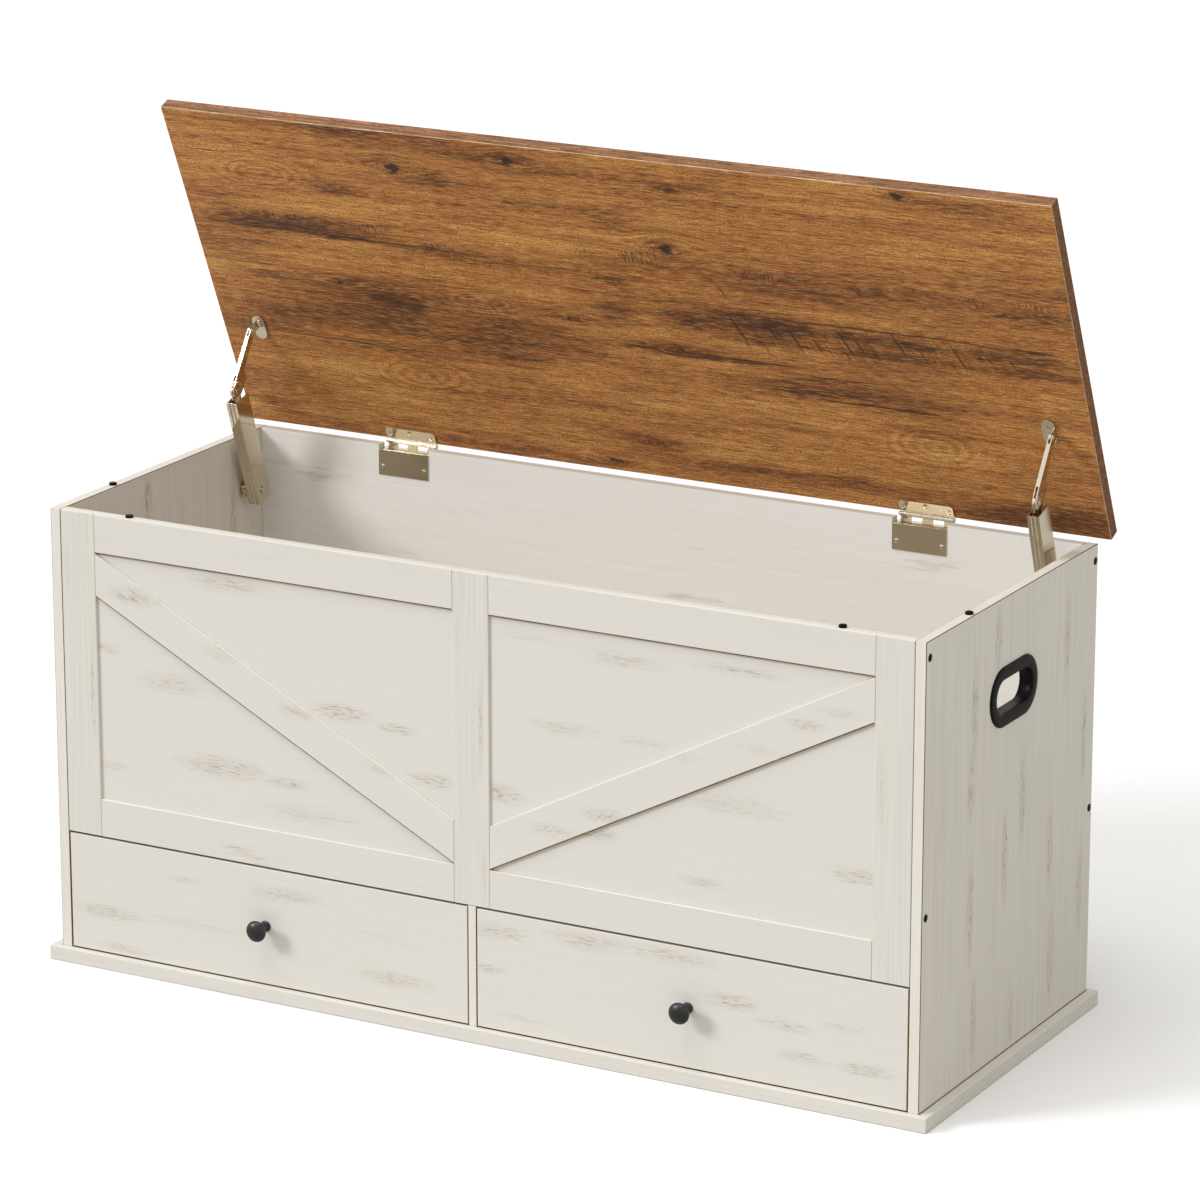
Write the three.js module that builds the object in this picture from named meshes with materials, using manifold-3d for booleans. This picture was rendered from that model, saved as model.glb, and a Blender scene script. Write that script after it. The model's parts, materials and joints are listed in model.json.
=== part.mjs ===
// A mule chest: a lift-up lid over an open chest, with two drawers side by side below it.
// Millimetres. +X is to the right seen from the front, +Y is to the back and +Z is up.
// The origin is the centre of the base board's underside, on the floor.
// The lid stands open, held by a folding stay on each side, and the drawers are shut.

import * as THREE from 'three';
import { mergeVertices } from 'three/addons/utils/BufferGeometryUtils.js';
import Module from 'manifold-3d';

const wasm = await Module();
wasm.setup();

// Overall sizes, with the lid shut. Base and lid are as large as the chest, and the cabinet stands in.
const chestLength = 1000;
const chestDepth = 400;
const chestHeight = 500;
const baseThickness = 15;
const lidThickness = 15;
const lidGap = 3;
const cabinetEndInset = 11;
const cabinetFrontInset = 7.5;
const cabinetBackInset = 4;
const sideThickness = 12;
const backThickness = 12;
const lidOpenAngle = THREE.MathUtils.degToRad(66);
const boardBevel = 0.5;
const runningGap = 0.3;
const seatGap = 0.05;
const cutOverrun = 2;

// Front panel and its applied trim
const frontThickness = 9;
const trimThickness = 3;
const trimJoint = 0.3;
const stileWidth = 40;
const topRailHeight = 41;
const bottomRailHeight = 40;
const braceWidth = 40;

// Drawers
const drawerBayHeight = 126;
const dividerThickness = 9;
const floorThickness = 12;
const drawerGap = 1;
const drawerTopGap = 2;
const drawerBoardThickness = 12;
const drawerBottomThickness = 4;
const drawerBottomLift = 8;
const drawerGrooveDepth = 5;
const drawerBoxLift = 12;
const drawerHeadroom = 24;
const drawerBackSpace = 19.5;

// Drawer slides: a rail on the cabinet and a runner on the drawer, one within the other
const slideSpace = 12.7;
const slideHeight = 35;
const slideSheet = 1.2;
const slideFlange = 8;
const slideClearance = 0.4;
const slideSetBack = 2;
const slideEndSpace = 23;

// Knobs
const knobLength = 24;
const knobFootRadius = 5.6;
const knobFootLength = 2;
const knobNeckRadius = 4;
const knobNeckLength = 13;
const knobHeadRadius = 11;
const knobRimAt = 18.5;

// Handle rings
const handleLength = 106;
const handleHeight = 60;
const handleRim = 13;
const handleRimThickness = 2.4;
const handleWall = 2;
const handleBelowTop = 99;
const handleFit = 0.3;

// Lid bumpers
const bumperRadius = 4;
const bumperEdge = 0.6;
const frontBumperInset = 90.5;
const sideBumperInset = 104;

// Hinges
const hingeLength = 60;
const hingeInset = 200;
const hingeSheet = 1.2;
const hingeBarrelRadius = 2.4;
const hingePinClearance = 0.2;
const hingePinHeadRadius = 1.9;
const hingePinHeadLength = 0.8;
const hingeKnuckles = 5;
const hingeUnderLid = 1;
const hingeAboveLidFace = 0.2;
const hingeNotchDepth = 6;
const hingeUpperLeafWidth = 14.8;
const hingeLowerLeafDrop = 26;
const hingeLeafCorner = 2.5;
const hingeScrewRadius = 1.9;
const hingeScrewFromEnd = 5;
const hingeMiddleScrewUp = 11.1;
const hingeEndScrewUp = 7.3;
const hingeLowerScrewDown = 17;

// Lid stays: the knee is placed from the hinge axis with the lid open, the lid pin from the lid's back edge
const stayFromSide = 16.5;
const stayKneeForward = 91.4;
const stayKneeRise = 57.7;
const stayLean = THREE.MathUtils.degToRad(19);
const stayHousingReach = 122.9;
const stayLidReach = 128;
const stayLidDrop = 9;

// Channel housing of a stay
const housingWidth = 13;
const housingDepth = 24.5;
const housingWall = 1.3;
const housingLip = 2.8;
const housingGroovePlace = 2.2;
const housingGrooveWidth = 1.6;
const housingGrooveDepth = 0.6;
const housingBelowPivot = 12;
const housingShortOfKnee = 9;

// Tongue of a stay, with its plug in the channel, the knee pin and the stop pin
const tongueThickness = 1.8;
const tongueRadius = 7;
const tongueFront = 8;
const tongueBack = 5;
const plugClearance = 2;
const plugLength = 24;
const kneePinRadius = 1.6;
const stopPinRadius = 0.9;
const stopPinReach = 9;
const stopPinLug = 2.4;
const stopAngle = THREE.MathUtils.degToRad(-93.4);

// Arm of a stay
const armSheet = 1;
const armEndRadius = 4.2;
const armFront = 7.5;
const armKneeRadius = 8;
const armLobeReach = 10.5;
const armLobeTop = 22;
const armLobeMiddle = 12;
const armNeck = 2.5;
const armWebStart = 14;
const armPinRadius = 1.2;
const armTravel = THREE.MathUtils.degToRad(84);
const rivetRadius = 2.8;
const rivetHead = 0.9;

// Lid bracket of a stay, with the eye that the arm's pin rides in
const eyeClearance = 2.5;
const eyeWall = 1.7;
const bracketThickness = 1.6;
const bracketWidth = 14.5;
const bracketLength = 29;
const bracketScrewRadius = 2;
const bracketScrewInset = 9.5;

// Base bracket of a stay
const basePlateRadius = 13;
const basePlateThickness = 2;
const basePinRadius = 3;
const baseHubRadius = 6;
const baseHeadRadius = 4.4;
const baseScrewRadius = 1.7;
const baseScrewReach = 9.7;

// Rounding of curves, as counts of segments
const curveSteps = 6;
const slotSteps = 12;
const roundSteps = 20;

// Places worked out from the sizes
const frontY = -chestDepth / 2 + cabinetFrontInset;
const backY = chestDepth / 2 - cabinetBackInset;
const cabinetDepth = backY - frontY;
const cabinetTop = chestHeight - lidThickness - lidGap;
const sideHeight = cabinetTop - baseThickness;
const sideX = chestLength / 2 - cabinetEndInset;
const innerX = sideX - sideThickness;
const panelFrontY = frontY + trimThickness;
const panelBackY = panelFrontY + frontThickness;
const backInnerY = backY - backThickness;
const floorBottom = baseThickness + drawerBayHeight;
const lidUnderside = cabinetTop + lidGap;
const hingeX = chestLength / 2 - hingeInset;
const hingeY = chestDepth / 2 + hingeBarrelRadius - hingeUnderLid;
const hingeZ = lidUnderside - hingeBarrelRadius + hingeAboveLidFace;

// Finishes
const finish = (color, roughness, metalness) => (
  new THREE.MeshStandardMaterial({ color, roughness, metalness })
);
const whiteOak = () => finish(0xded9d1, 0.6, 0);
const rusticOak = () => finish(0xa06e38, 0.55, 0);
const drawerCard = () => finish(0xd8cdbb, 0.7, 0);
const blackPlastic = () => finish(0x1b1b1c, 0.45, 0);
const blackMetal = () => finish(0x161617, 0.3, 0.6);
const nickel = () => finish(0xb9b2a4, 0.25, 1);
const railSteel = () => finish(0xc9c9c6, 0.4, 0.9);

const chest = new THREE.Group();

function addPiece(name, geometry, material, parent = chest) {
  const mesh = new THREE.Mesh(geometry, material);
  mesh.name = name;
  parent.add(mesh);
  return mesh;
}

// Solids for cutting and joining
function toSolid(geometry) {
  const bare = geometry.clone();
  bare.deleteAttribute('normal');
  bare.deleteAttribute('uv');
  const merged = mergeVertices(bare);
  return new wasm.Manifold(new wasm.Mesh({
    numProp: 3,
    vertProperties: new Float32Array(merged.attributes.position.array),
    triVerts: new Uint32Array(merged.index.array),
  }));
}

function toGeometry(solid) {
  const result = solid.getMesh();
  const geometry = new THREE.BufferGeometry();
  geometry.setAttribute('position', new THREE.BufferAttribute(new Float32Array(result.vertProperties), 3));
  geometry.setIndex(new THREE.BufferAttribute(new Uint32Array(result.triVerts), 1));
  geometry.computeVertexNormals();
  return geometry;
}

const join = (...geometries) => toGeometry(geometries.map(toSolid).reduce((sum, solid) => sum.add(solid)));
const cut = (geometry, ...tools) => toGeometry(
  tools.map(toSolid).reduce((rest, solid) => rest.subtract(solid), toSolid(geometry)),
);

// Extrusions along the three directions, each centred on its own outline's plane
function extrude(shape, length, bevel = 0, steps = curveSteps) {
  const geometry = new THREE.ExtrudeGeometry(shape, {
    depth: length - 2 * bevel,
    bevelEnabled: bevel > 0,
    bevelThickness: bevel,
    bevelSize: bevel,
    bevelOffset: -bevel,
    bevelSegments: 1,
    curveSegments: steps,
  });
  return geometry.translate(0, 0, bevel - length / 2);
}

// The outline is drawn in Y and Z, and the piece is as long as given along X.
function extrudeAlongX(shape, length, bevel, steps) {
  return extrude(shape, length, bevel, steps).rotateY(Math.PI / 2).rotateX(Math.PI / 2);
}

// The outline is drawn in X and Z, and the piece is as long as given along Y.
function extrudeAlongY(shape, length, bevel) {
  return extrude(shape, length, bevel).rotateX(Math.PI / 2);
}

function polygon(...points) {
  return new THREE.Shape(points.map(([a, b]) => new THREE.Vector2(a, b)));
}

function rectangle(width, height) {
  return polygon(
    [-width / 2, -height / 2],
    [width / 2, -height / 2],
    [width / 2, height / 2],
    [-width / 2, height / 2],
  );
}

// A slot with round ends, its long way along the first axis
function slot(length, height, PathType = THREE.Shape) {
  const radius = height / 2;
  const straight = length / 2 - radius;
  const outline = new PathType();
  outline.moveTo(-straight, -radius);
  outline.lineTo(straight, -radius);
  outline.absarc(straight, 0, radius, -Math.PI / 2, Math.PI / 2, false);
  outline.lineTo(-straight, radius);
  outline.absarc(-straight, 0, radius, Math.PI / 2, Math.PI * 1.5, false);
  return outline;
}

function circle(radius, PathType = THREE.Shape) {
  const outline = new PathType();
  outline.absarc(0, 0, radius, 0, Math.PI * 2, false);
  return outline;
}

function rodAlongX(radius, length, steps = roundSteps) {
  return new THREE.CylinderGeometry(radius, radius, length, steps).rotateZ(Math.PI / 2);
}

// A flat board between two corners, its broad faces square to the direction named, with its edges eased
const extrudeAlong = { x: extrudeAlongX, y: extrudeAlongY, z: extrude };
const outlineAxes = { x: [1, 2], y: [0, 2], z: [0, 1] };

function addBoard(name, thin, low, high, material, parent = chest) {
  const size = high.map((value, axis) => value - low[axis]);
  const centre = high.map((value, axis) => (value + low[axis]) / 2);
  const [across, up] = outlineAxes[thin];
  const outline = rectangle(size[across], size[up]);
  const geometry = extrudeAlong[thin](outline, size['xyz'.indexOf(thin)], boardBevel);
  const mesh = addPiece(name, geometry, material, parent);
  mesh.position.set(...centre);
  return mesh;
}

// The two sides of the chest. A span is measured from the middle, and lies mirrored on the left.
const sides = { left: -1, right: 1 };
const span = (side, inner, outer) => (side > 0 ? [inner, outer] : [-outer, -inner]);

// Cabinet
function addCabinetBoards() {
  addBoard(
    'base_board',
    'z',
    [-chestLength / 2, -chestDepth / 2, 0],
    [chestLength / 2, chestDepth / 2, baseThickness],
    whiteOak(),
  );
  addBoard(
    'front_panel',
    'y',
    [-innerX, panelFrontY, floorBottom],
    [innerX, panelBackY, cabinetTop],
    whiteOak(),
  );
  addBoard(
    'chest_floor',
    'z',
    [-innerX, panelBackY, floorBottom],
    [innerX, backInnerY, floorBottom + floorThickness],
    whiteOak(),
  );
  addBoard(
    'drawer_divider',
    'x',
    [-dividerThickness / 2, frontY, baseThickness],
    [dividerThickness / 2, backInnerY, floorBottom],
    whiteOak(),
  );
}

const handleHoleLength = handleLength - 2 * handleRim;
const handleHoleHeight = handleHeight - 2 * handleRim;
const handleY = (frontY + backY) / 2;
const handleZ = cabinetTop - handleBelowTop;

// A side panel has a slot for the handle ring's tube.
function addSidePanel(name, side) {
  const outline = rectangle(cabinetDepth, sideHeight);
  const around = 2 * (handleWall + handleFit);
  const opening = slot(handleHoleLength + around, handleHoleHeight + around, THREE.Path);
  const rise = sideHeight / 2 - handleBelowTop;
  const points = opening.getPoints(slotSteps).map((point) => new THREE.Vector2(point.x, point.y + rise));
  outline.holes.push(new THREE.Path(points));
  const board = extrudeAlongX(outline, sideThickness, boardBevel);
  const mesh = addPiece(`${name}_side_panel`, board, whiteOak());
  mesh.position.set(side * (sideX - sideThickness / 2), handleY, baseThickness + sideHeight / 2);
}

// A handle ring is a rim on the outer face and a short tube through the panel.
const rimBevelShare = 1 / 3;

function addHandleRing(name, side) {
  const tubeLength = sideThickness + handleRimThickness / 2;
  const tubeOutline = slot(handleHoleLength + 2 * handleWall, handleHoleHeight + 2 * handleWall);
  const rimBevel = handleRimThickness * rimBevelShare;
  const rim = extrudeAlongX(slot(handleLength, handleHeight), handleRimThickness, rimBevel, slotSteps);
  const tube = extrudeAlongX(tubeOutline, tubeLength, 0, slotSteps);
  tube.translate(-side * tubeLength / 2, 0, 0);
  const holeLength = 2 * (sideThickness + handleRimThickness + cutOverrun);
  const hole = extrudeAlongX(slot(handleHoleLength, handleHoleHeight), holeLength, 0, slotSteps);
  const mesh = addPiece(`${name}_handle_ring`, cut(join(rim, tube), hole), blackPlastic());
  mesh.position.set(side * (sideX + seatGap + handleRimThickness / 2), handleY, handleZ);
}

// The back panel is notched for each hinge, so that the barrel lies level with the top edge.
function addBackPanel() {
  const height = cabinetTop - baseThickness;
  const top = height / 2;
  const notchFloor = top - hingeNotchDepth;
  const notchHalf = hingeLength / 2 + runningGap;
  const corners = [[-innerX, -top], [innerX, -top], [innerX, top]];
  for (const middle of [hingeX, -hingeX]) {
    corners.push([middle + notchHalf, top]);
    corners.push([middle + notchHalf, notchFloor]);
    corners.push([middle - notchHalf, notchFloor]);
    corners.push([middle - notchHalf, top]);
  }
  corners.push([-innerX, top]);
  const board = extrudeAlongY(polygon(...corners), backThickness, boardBevel);
  const mesh = addPiece('back_panel', board, whiteOak());
  mesh.position.set(0, backY - backThickness / 2, baseThickness + top);
}

// Applied trim: stiles, rails and a brace in each bay, in front of the front panel
const bayInner = stileWidth / 2;
const bayOuter = innerX - stileWidth;
const railSplit = floorBottom + bottomRailHeight;
const topRailBottom = cabinetTop - topRailHeight;

function addTrimBoard(name, from, to, bottom, top) {
  addBoard(name, 'y', [from, frontY, bottom], [to, panelFrontY, top], whiteOak());
}

// A brace runs from the bay's outer top corner to its inner bottom corner, with upright ends.
function addBrace(name, side) {
  const width = bayOuter - bayInner - 2 * trimJoint;
  const height = topRailBottom - railSplit - 2 * trimJoint;
  const slope = Math.acos(braceWidth / Math.hypot(height, width)) - Math.atan2(width, height);
  const end = braceWidth / Math.cos(slope);
  const outline = polygon(
    [side * width / 2, height / 2],
    [side * width / 2, height / 2 - end],
    [-side * width / 2, -height / 2],
    [-side * width / 2, -height / 2 + end],
  );
  const mesh = addPiece(name, extrudeAlongY(outline, trimThickness, boardBevel), whiteOak());
  const middleX = side * (bayInner + bayOuter) / 2;
  mesh.position.set(middleX, frontY + trimThickness / 2, (topRailBottom + railSplit) / 2);
}

function addTrim() {
  addTrimBoard('middle_stile', -bayInner, bayInner, floorBottom, cabinetTop);
  for (const [name, side] of Object.entries(sides)) {
    addTrimBoard(`${name}_stile`, ...span(side, bayOuter, innerX), floorBottom, cabinetTop);
    const railSpan = span(side, bayInner + trimJoint, bayOuter - trimJoint);
    addTrimBoard(`${name}_top_rail`, ...railSpan, topRailBottom, cabinetTop);
    addTrimBoard(`${name}_bottom_rail`, ...railSpan, floorBottom, railSplit);
    addBrace(`${name}_brace`, side);
  }
}

// Bumpers on the top edges, which the closed lid rests on
function addBumper(name, x, y) {
  const height = lidGap - runningGap;
  const profile = [
    [0, 0],
    [bumperRadius, 0],
    [bumperRadius, height - bumperEdge],
    [bumperRadius - bumperEdge, height],
    [0, height],
  ];
  const points = profile.map(([radius, along]) => new THREE.Vector2(radius, along));
  const geometry = new THREE.LatheGeometry(points, roundSteps).rotateX(Math.PI / 2);
  addPiece(name, geometry, blackPlastic()).position.set(x, y, cabinetTop);
}

function addBumpers() {
  for (const [name, side] of Object.entries(sides)) {
    addBumper(`${name}_front_bumper`, side * (sideX - frontBumperInset), (panelFrontY + panelBackY) / 2);
    addBumper(`${name}_side_bumper`, side * (sideX - sideThickness / 2), frontY + sideBumperInset);
  }
}

// Drawers
const boxBottom = baseThickness + drawerBoxLift;
const boxTop = floorBottom - drawerHeadroom;
const boxHeight = boxTop - boxBottom;
const boxFrontY = frontY + drawerBoardThickness;
const boxBackY = backInnerY - drawerBackSpace;
const boxDepth = boxBackY - boxFrontY;
const boxInner = dividerThickness / 2 + slideSpace;
const boxOuter = innerX - slideSpace;
const slideZ = (boxBottom + boxTop) / 2;
const slideLength = boxDepth - slideSetBack - slideEndSpace;
const slideMiddleY = boxFrontY + slideSetBack + slideLength / 2;

// A drawer's side board has a groove along its inner face for the bottom. It faces as given.
function addDrawerSide(name, middle, facing) {
  const inner = facing * drawerBoardThickness / 2;
  const grooved = inner - facing * drawerGrooveDepth;
  const low = -boxHeight / 2;
  const grooveLow = low + drawerBottomLift;
  const grooveHigh = grooveLow + drawerBottomThickness + 2 * seatGap;
  const outline = polygon(
    [-inner, low],
    [inner, low],
    [inner, grooveLow],
    [grooved, grooveLow],
    [grooved, grooveHigh],
    [inner, grooveHigh],
    [inner, -low],
    [-inner, -low],
  );
  const mesh = addPiece(name, extrudeAlongY(outline, boxDepth), drawerCard());
  mesh.position.set(middle, (boxFrontY + boxBackY) / 2, slideZ);
}

// The knob is turned: a foot, a neck and a domed head.
function addKnob(name, x) {
  const profile = new THREE.Path();
  profile.moveTo(0, 0);
  profile.lineTo(knobFootRadius, 0);
  profile.lineTo(knobFootRadius, knobFootLength / 2);
  profile.quadraticCurveTo(knobNeckRadius, knobFootLength, knobNeckRadius, 2 * knobFootLength);
  profile.lineTo(knobNeckRadius, knobNeckLength);
  profile.quadraticCurveTo(knobHeadRadius, knobNeckLength, knobHeadRadius, knobRimAt);
  profile.quadraticCurveTo(knobHeadRadius, knobLength, 0, knobLength);
  const geometry = new THREE.LatheGeometry(profile.getPoints(curveSteps), roundSteps).rotateX(Math.PI);
  const mesh = addPiece(name, geometry, blackMetal());
  mesh.position.set(x, frontY - seatGap, baseThickness + drawerBayHeight / 2);
}

// A slide member is a channel whose web lies on the face at x and whose flanges point as given.
function addSlide(name, x, facing, height) {
  const half = height / 2;
  const outline = polygon(
    [0, -half],
    [facing * slideFlange, -half],
    [facing * slideFlange, -half + slideSheet],
    [facing * slideSheet, -half + slideSheet],
    [facing * slideSheet, half - slideSheet],
    [facing * slideFlange, half - slideSheet],
    [facing * slideFlange, half],
    [0, half],
  );
  const mesh = addPiece(name, extrudeAlongY(outline, slideLength), railSteel());
  mesh.position.set(x + facing * seatGap, slideMiddleY, slideZ);
}

function addDrawer(name, side) {
  const front = span(side, dividerThickness / 2 + drawerGap, innerX - drawerGap);
  addBoard(
    `${name}_drawer_front`,
    'y',
    [front[0], frontY, baseThickness + drawerGap],
    [front[1], boxFrontY, floorBottom - drawerTopGap],
    whiteOak(),
  );
  const half = drawerBoardThickness / 2;
  addDrawerSide(`${name}_drawer_inner_side`, side * (boxInner + half), side);
  addDrawerSide(`${name}_drawer_outer_side`, side * (boxOuter - half), -side);
  const inside = span(side, boxInner + drawerBoardThickness, boxOuter - drawerBoardThickness);
  const bottomLow = boxBottom + drawerBottomLift + seatGap;
  const bottomHigh = bottomLow + drawerBottomThickness;
  const tuck = drawerGrooveDepth - seatGap;
  addBoard(
    `${name}_drawer_back`,
    'y',
    [inside[0], boxBackY - drawerBoardThickness, bottomHigh + seatGap],
    [inside[1], boxBackY, boxTop],
    drawerCard(),
  );
  addBoard(
    `${name}_drawer_bottom`,
    'z',
    [inside[0] - tuck, boxFrontY + seatGap, bottomLow],
    [inside[1] + tuck, boxBackY, bottomHigh],
    drawerCard(),
  );
  addKnob(`${name}_drawer_knob`, side * (dividerThickness / 2 + innerX) / 2);
  const runnerHeight = slideHeight - 2 * (slideSheet + slideClearance);
  addSlide(`${name}_drawer_inner_rail`, side * dividerThickness / 2, side, slideHeight);
  addSlide(`${name}_drawer_outer_rail`, side * innerX, -side, slideHeight);
  addSlide(`${name}_drawer_inner_runner`, side * boxInner, -side, runnerHeight);
  addSlide(`${name}_drawer_outer_runner`, side * boxOuter, side, runnerHeight);
}

// The lid's group turns about the hinge axis. What is in it is placed as with the lid closed.
const lidGroup = new THREE.Group();
lidGroup.position.set(0, hingeY, hingeZ);
lidGroup.rotation.x = -lidOpenAngle;
chest.add(lidGroup);
const lidBottom = lidUnderside - hingeZ;

function addLid() {
  addBoard(
    'lid',
    'z',
    [-chestLength / 2, -chestDepth / 2 - hingeY, lidBottom],
    [chestLength / 2, chestDepth / 2 - hingeY, lidBottom + lidThickness],
    rusticOak(),
    lidGroup,
  );
}

// Hinges. Both leaves are drawn about the barrel's axis, and take turns along it with their knuckles.
const knucklePitch = hingeLength / hingeKnuckles;
const knuckleLength = knucklePitch - runningGap;
const knucklePlaces = (first) => {
  const places = [];
  for (let index = first; index < hingeKnuckles; index += 2) {
    places.push((index - (hingeKnuckles - 1) / 2) * knucklePitch);
  }
  return places;
};
const barrelBore = () => rodAlongX(hingeBarrelRadius - hingeSheet, hingeLength + cutOverrun);
const hingeScrewSide = hingeLength / 2 - hingeScrewFromEnd;

// The lower leaf lies in the notch, is bent down the panel's inner face and rises behind into its knuckles.
function addLowerLeaf(name, x) {
  const inner = backInnerY - seatGap - hingeY;
  const floor = cabinetTop - hingeNotchDepth + seatGap - hingeZ;
  const stripEnd = -hingeBarrelRadius;
  const plate = extrudeAlongX(polygon(
    [inner - hingeSheet, floor - hingeLowerLeafDrop],
    [inner, floor - hingeLowerLeafDrop],
    [inner, floor],
    [stripEnd, floor],
    [stripEnd, floor + hingeSheet],
    [inner - hingeSheet, floor + hingeSheet],
  ), hingeLength);
  const pieces = [plate];
  for (const place of knucklePlaces(0)) {
    const riser = extrudeAlongX(polygon(
      [stripEnd - hingeSheet, floor],
      [hingeBarrelRadius, floor],
      [hingeBarrelRadius, 0],
      [hingeBarrelRadius - hingeSheet, 0],
      [hingeBarrelRadius - hingeSheet, floor + hingeSheet],
      [stripEnd - hingeSheet, floor + hingeSheet],
    ), knuckleLength);
    pieces.push(riser.translate(place, 0, 0));
    pieces.push(rodAlongX(hingeBarrelRadius, knuckleLength).translate(place, 0, 0));
  }
  const screwHoles = [-hingeScrewSide, hingeScrewSide].map((place) => {
    const hole = extrudeAlongY(circle(hingeScrewRadius), hingeSheet + cutOverrun);
    return hole.translate(place, inner - hingeSheet / 2, floor - hingeLowerScrewDown);
  });
  const mesh = addPiece(name, cut(join(...pieces), barrelBore(), ...screwHoles), nickel());
  mesh.position.set(x, hingeY, hingeZ);
}

// The upper leaf lies under the lid, with its free corners cut off and three screw holes.
function addUpperLeaf(name, x) {
  const far = chestDepth / 2 - hingeUpperLeafWidth - hingeY;
  const near = -hingeBarrelRadius - 2 * runningGap;
  const half = hingeLength / 2;
  const middle = lidBottom - runningGap - hingeSheet / 2;
  const plate = extrude(polygon(
    [-half, near],
    [-half, far + hingeLeafCorner],
    [-half + hingeLeafCorner, far],
    [half - hingeLeafCorner, far],
    [half, far + hingeLeafCorner],
    [half, near],
  ), hingeSheet).translate(0, 0, middle);
  const pieces = [plate];
  for (const place of knucklePlaces(1)) {
    const lug = extrude(rectangle(knuckleLength, 2 * -near), hingeSheet);
    pieces.push(lug.translate(place, near, middle));
    pieces.push(rodAlongX(hingeBarrelRadius, knuckleLength).translate(place, 0, 0));
  }
  const backEdge = chestDepth / 2 - hingeY;
  const screwPlaces = [
    [0, backEdge - hingeMiddleScrewUp],
    [-hingeScrewSide, backEdge - hingeEndScrewUp],
    [hingeScrewSide, backEdge - hingeEndScrewUp],
  ];
  const screwHoles = screwPlaces.map(([across, back]) => (
    extrude(circle(hingeScrewRadius), hingeSheet + cutOverrun).translate(across, back, middle)
  ));
  addPiece(name, cut(join(...pieces), barrelBore(), ...screwHoles), nickel(), lidGroup).position.x = x;
}

function addHingePin(name, x) {
  const radius = hingeBarrelRadius - hingeSheet - hingePinClearance;
  const headMiddle = hingeLength / 2 + runningGap + hingePinHeadLength / 2;
  const headEnd = headMiddle + hingePinHeadLength / 2;
  const mesh = addPiece(name, join(
    rodAlongX(radius, 2 * headEnd),
    rodAlongX(hingePinHeadRadius, hingePinHeadLength).translate(headMiddle, 0, 0),
    rodAlongX(hingePinHeadRadius, hingePinHeadLength).translate(-headMiddle, 0, 0),
  ), nickel());
  mesh.position.set(x, hingeY, hingeZ);
}

// Lid stays. Each is a channel housing that swings on the side panel, a tongue fixed in it, and an arm
// between the tongue's knee pin and the lid bracket.
const turned = (y, z, angle) => [
  y * Math.cos(angle) - z * Math.sin(angle),
  y * Math.sin(angle) + z * Math.cos(angle),
];
const stayX = innerX - stayFromSide;
const kneeY = hingeY - stayKneeForward;
const kneeZ = hingeZ + stayKneeRise;
const pivotY = kneeY + stayHousingReach * Math.sin(stayLean);
const pivotZ = kneeZ - stayHousingReach * Math.cos(stayLean);
const lidPinClosedY = chestDepth / 2 - stayLidReach - hingeY;
const lidPinClosedZ = lidBottom - stayLidDrop;
const [lidPinOpenY, lidPinOpenZ] = turned(lidPinClosedY, lidPinClosedZ, -lidOpenAngle);
const armForward = hingeY + lidPinOpenY - kneeY;
const armRise = hingeZ + lidPinOpenZ - kneeZ;
const armLength = Math.hypot(armForward, armRise);
const armLean = -Math.atan2(armForward, armRise);
const armWidth = tongueThickness + 2 * (runningGap + armSheet);
const plugTop = armLobeTop + plugClearance;
const eyeBore = armPinRadius + eyeClearance;
const eyeRadius = eyeBore + eyeWall;

// The base bracket is a round plate on the side panel with a hub and the pin that the housing swings on.
function addBaseBracket(name, side) {
  const plateFace = stayFromSide - seatGap;
  const hubEnd = housingWidth / 2 + runningGap;
  const headStart = -hubEnd;
  const headEnd = headStart - rivetHead;
  const disc = (radius, from, to) => {
    const rod = rodAlongX(radius, Math.abs(to - from));
    return rod.translate(side * (from + to) / 2, 0, 0);
  };
  const bracket = join(
    disc(basePlateRadius, plateFace - basePlateThickness, plateFace),
    disc(baseHubRadius, hubEnd, plateFace - basePlateThickness / 2),
    disc(basePinRadius, headEnd, plateFace - basePlateThickness / 2),
    disc(baseHeadRadius, headEnd, headStart),
  );
  const holeStart = plateFace - basePlateThickness - cutOverrun;
  const screwHoles = [-baseScrewReach, baseScrewReach].map((rise) => (
    disc(baseScrewRadius, holeStart, plateFace + cutOverrun).translate(0, 0, rise)
  ));
  const mesh = addPiece(name, cut(bracket, ...screwHoles), nickel());
  mesh.position.set(side * stayX, pivotY, pivotZ);
}

// The housing is a folded channel, open to the back between two lips, with two grooves down its front.
function housingOutline() {
  const x = housingWidth / 2;
  const y = housingDepth / 2;
  const lip = x - housingLip;
  const outline = [[-x, y], [-x, -y]];
  for (const groove of [-housingGroovePlace, housingGroovePlace]) {
    outline.push([groove - housingGrooveWidth / 2, -y]);
    outline.push([groove, -y + housingGrooveDepth]);
    outline.push([groove + housingGrooveWidth / 2, -y]);
  }
  outline.push([x, -y], [x, y], [lip, y], [lip, y - housingWall]);
  outline.push([x - housingWall, y - housingWall], [x - housingWall, -y + housingWall]);
  outline.push([-x + housingWall, -y + housingWall], [-x + housingWall, y - housingWall]);
  outline.push([-lip, y - housingWall], [-lip, y]);
  return polygon(...outline);
}

function addHousing(name, group) {
  const top = stayHousingReach - housingShortOfKnee;
  const length = top + housingBelowPivot;
  const channel = extrude(housingOutline(), length).translate(0, 0, top - length / 2);
  const bore = rodAlongX(basePinRadius + runningGap, housingWidth + cutOverrun);
  addPiece(name, cut(channel, bore), nickel(), group);
}

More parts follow.
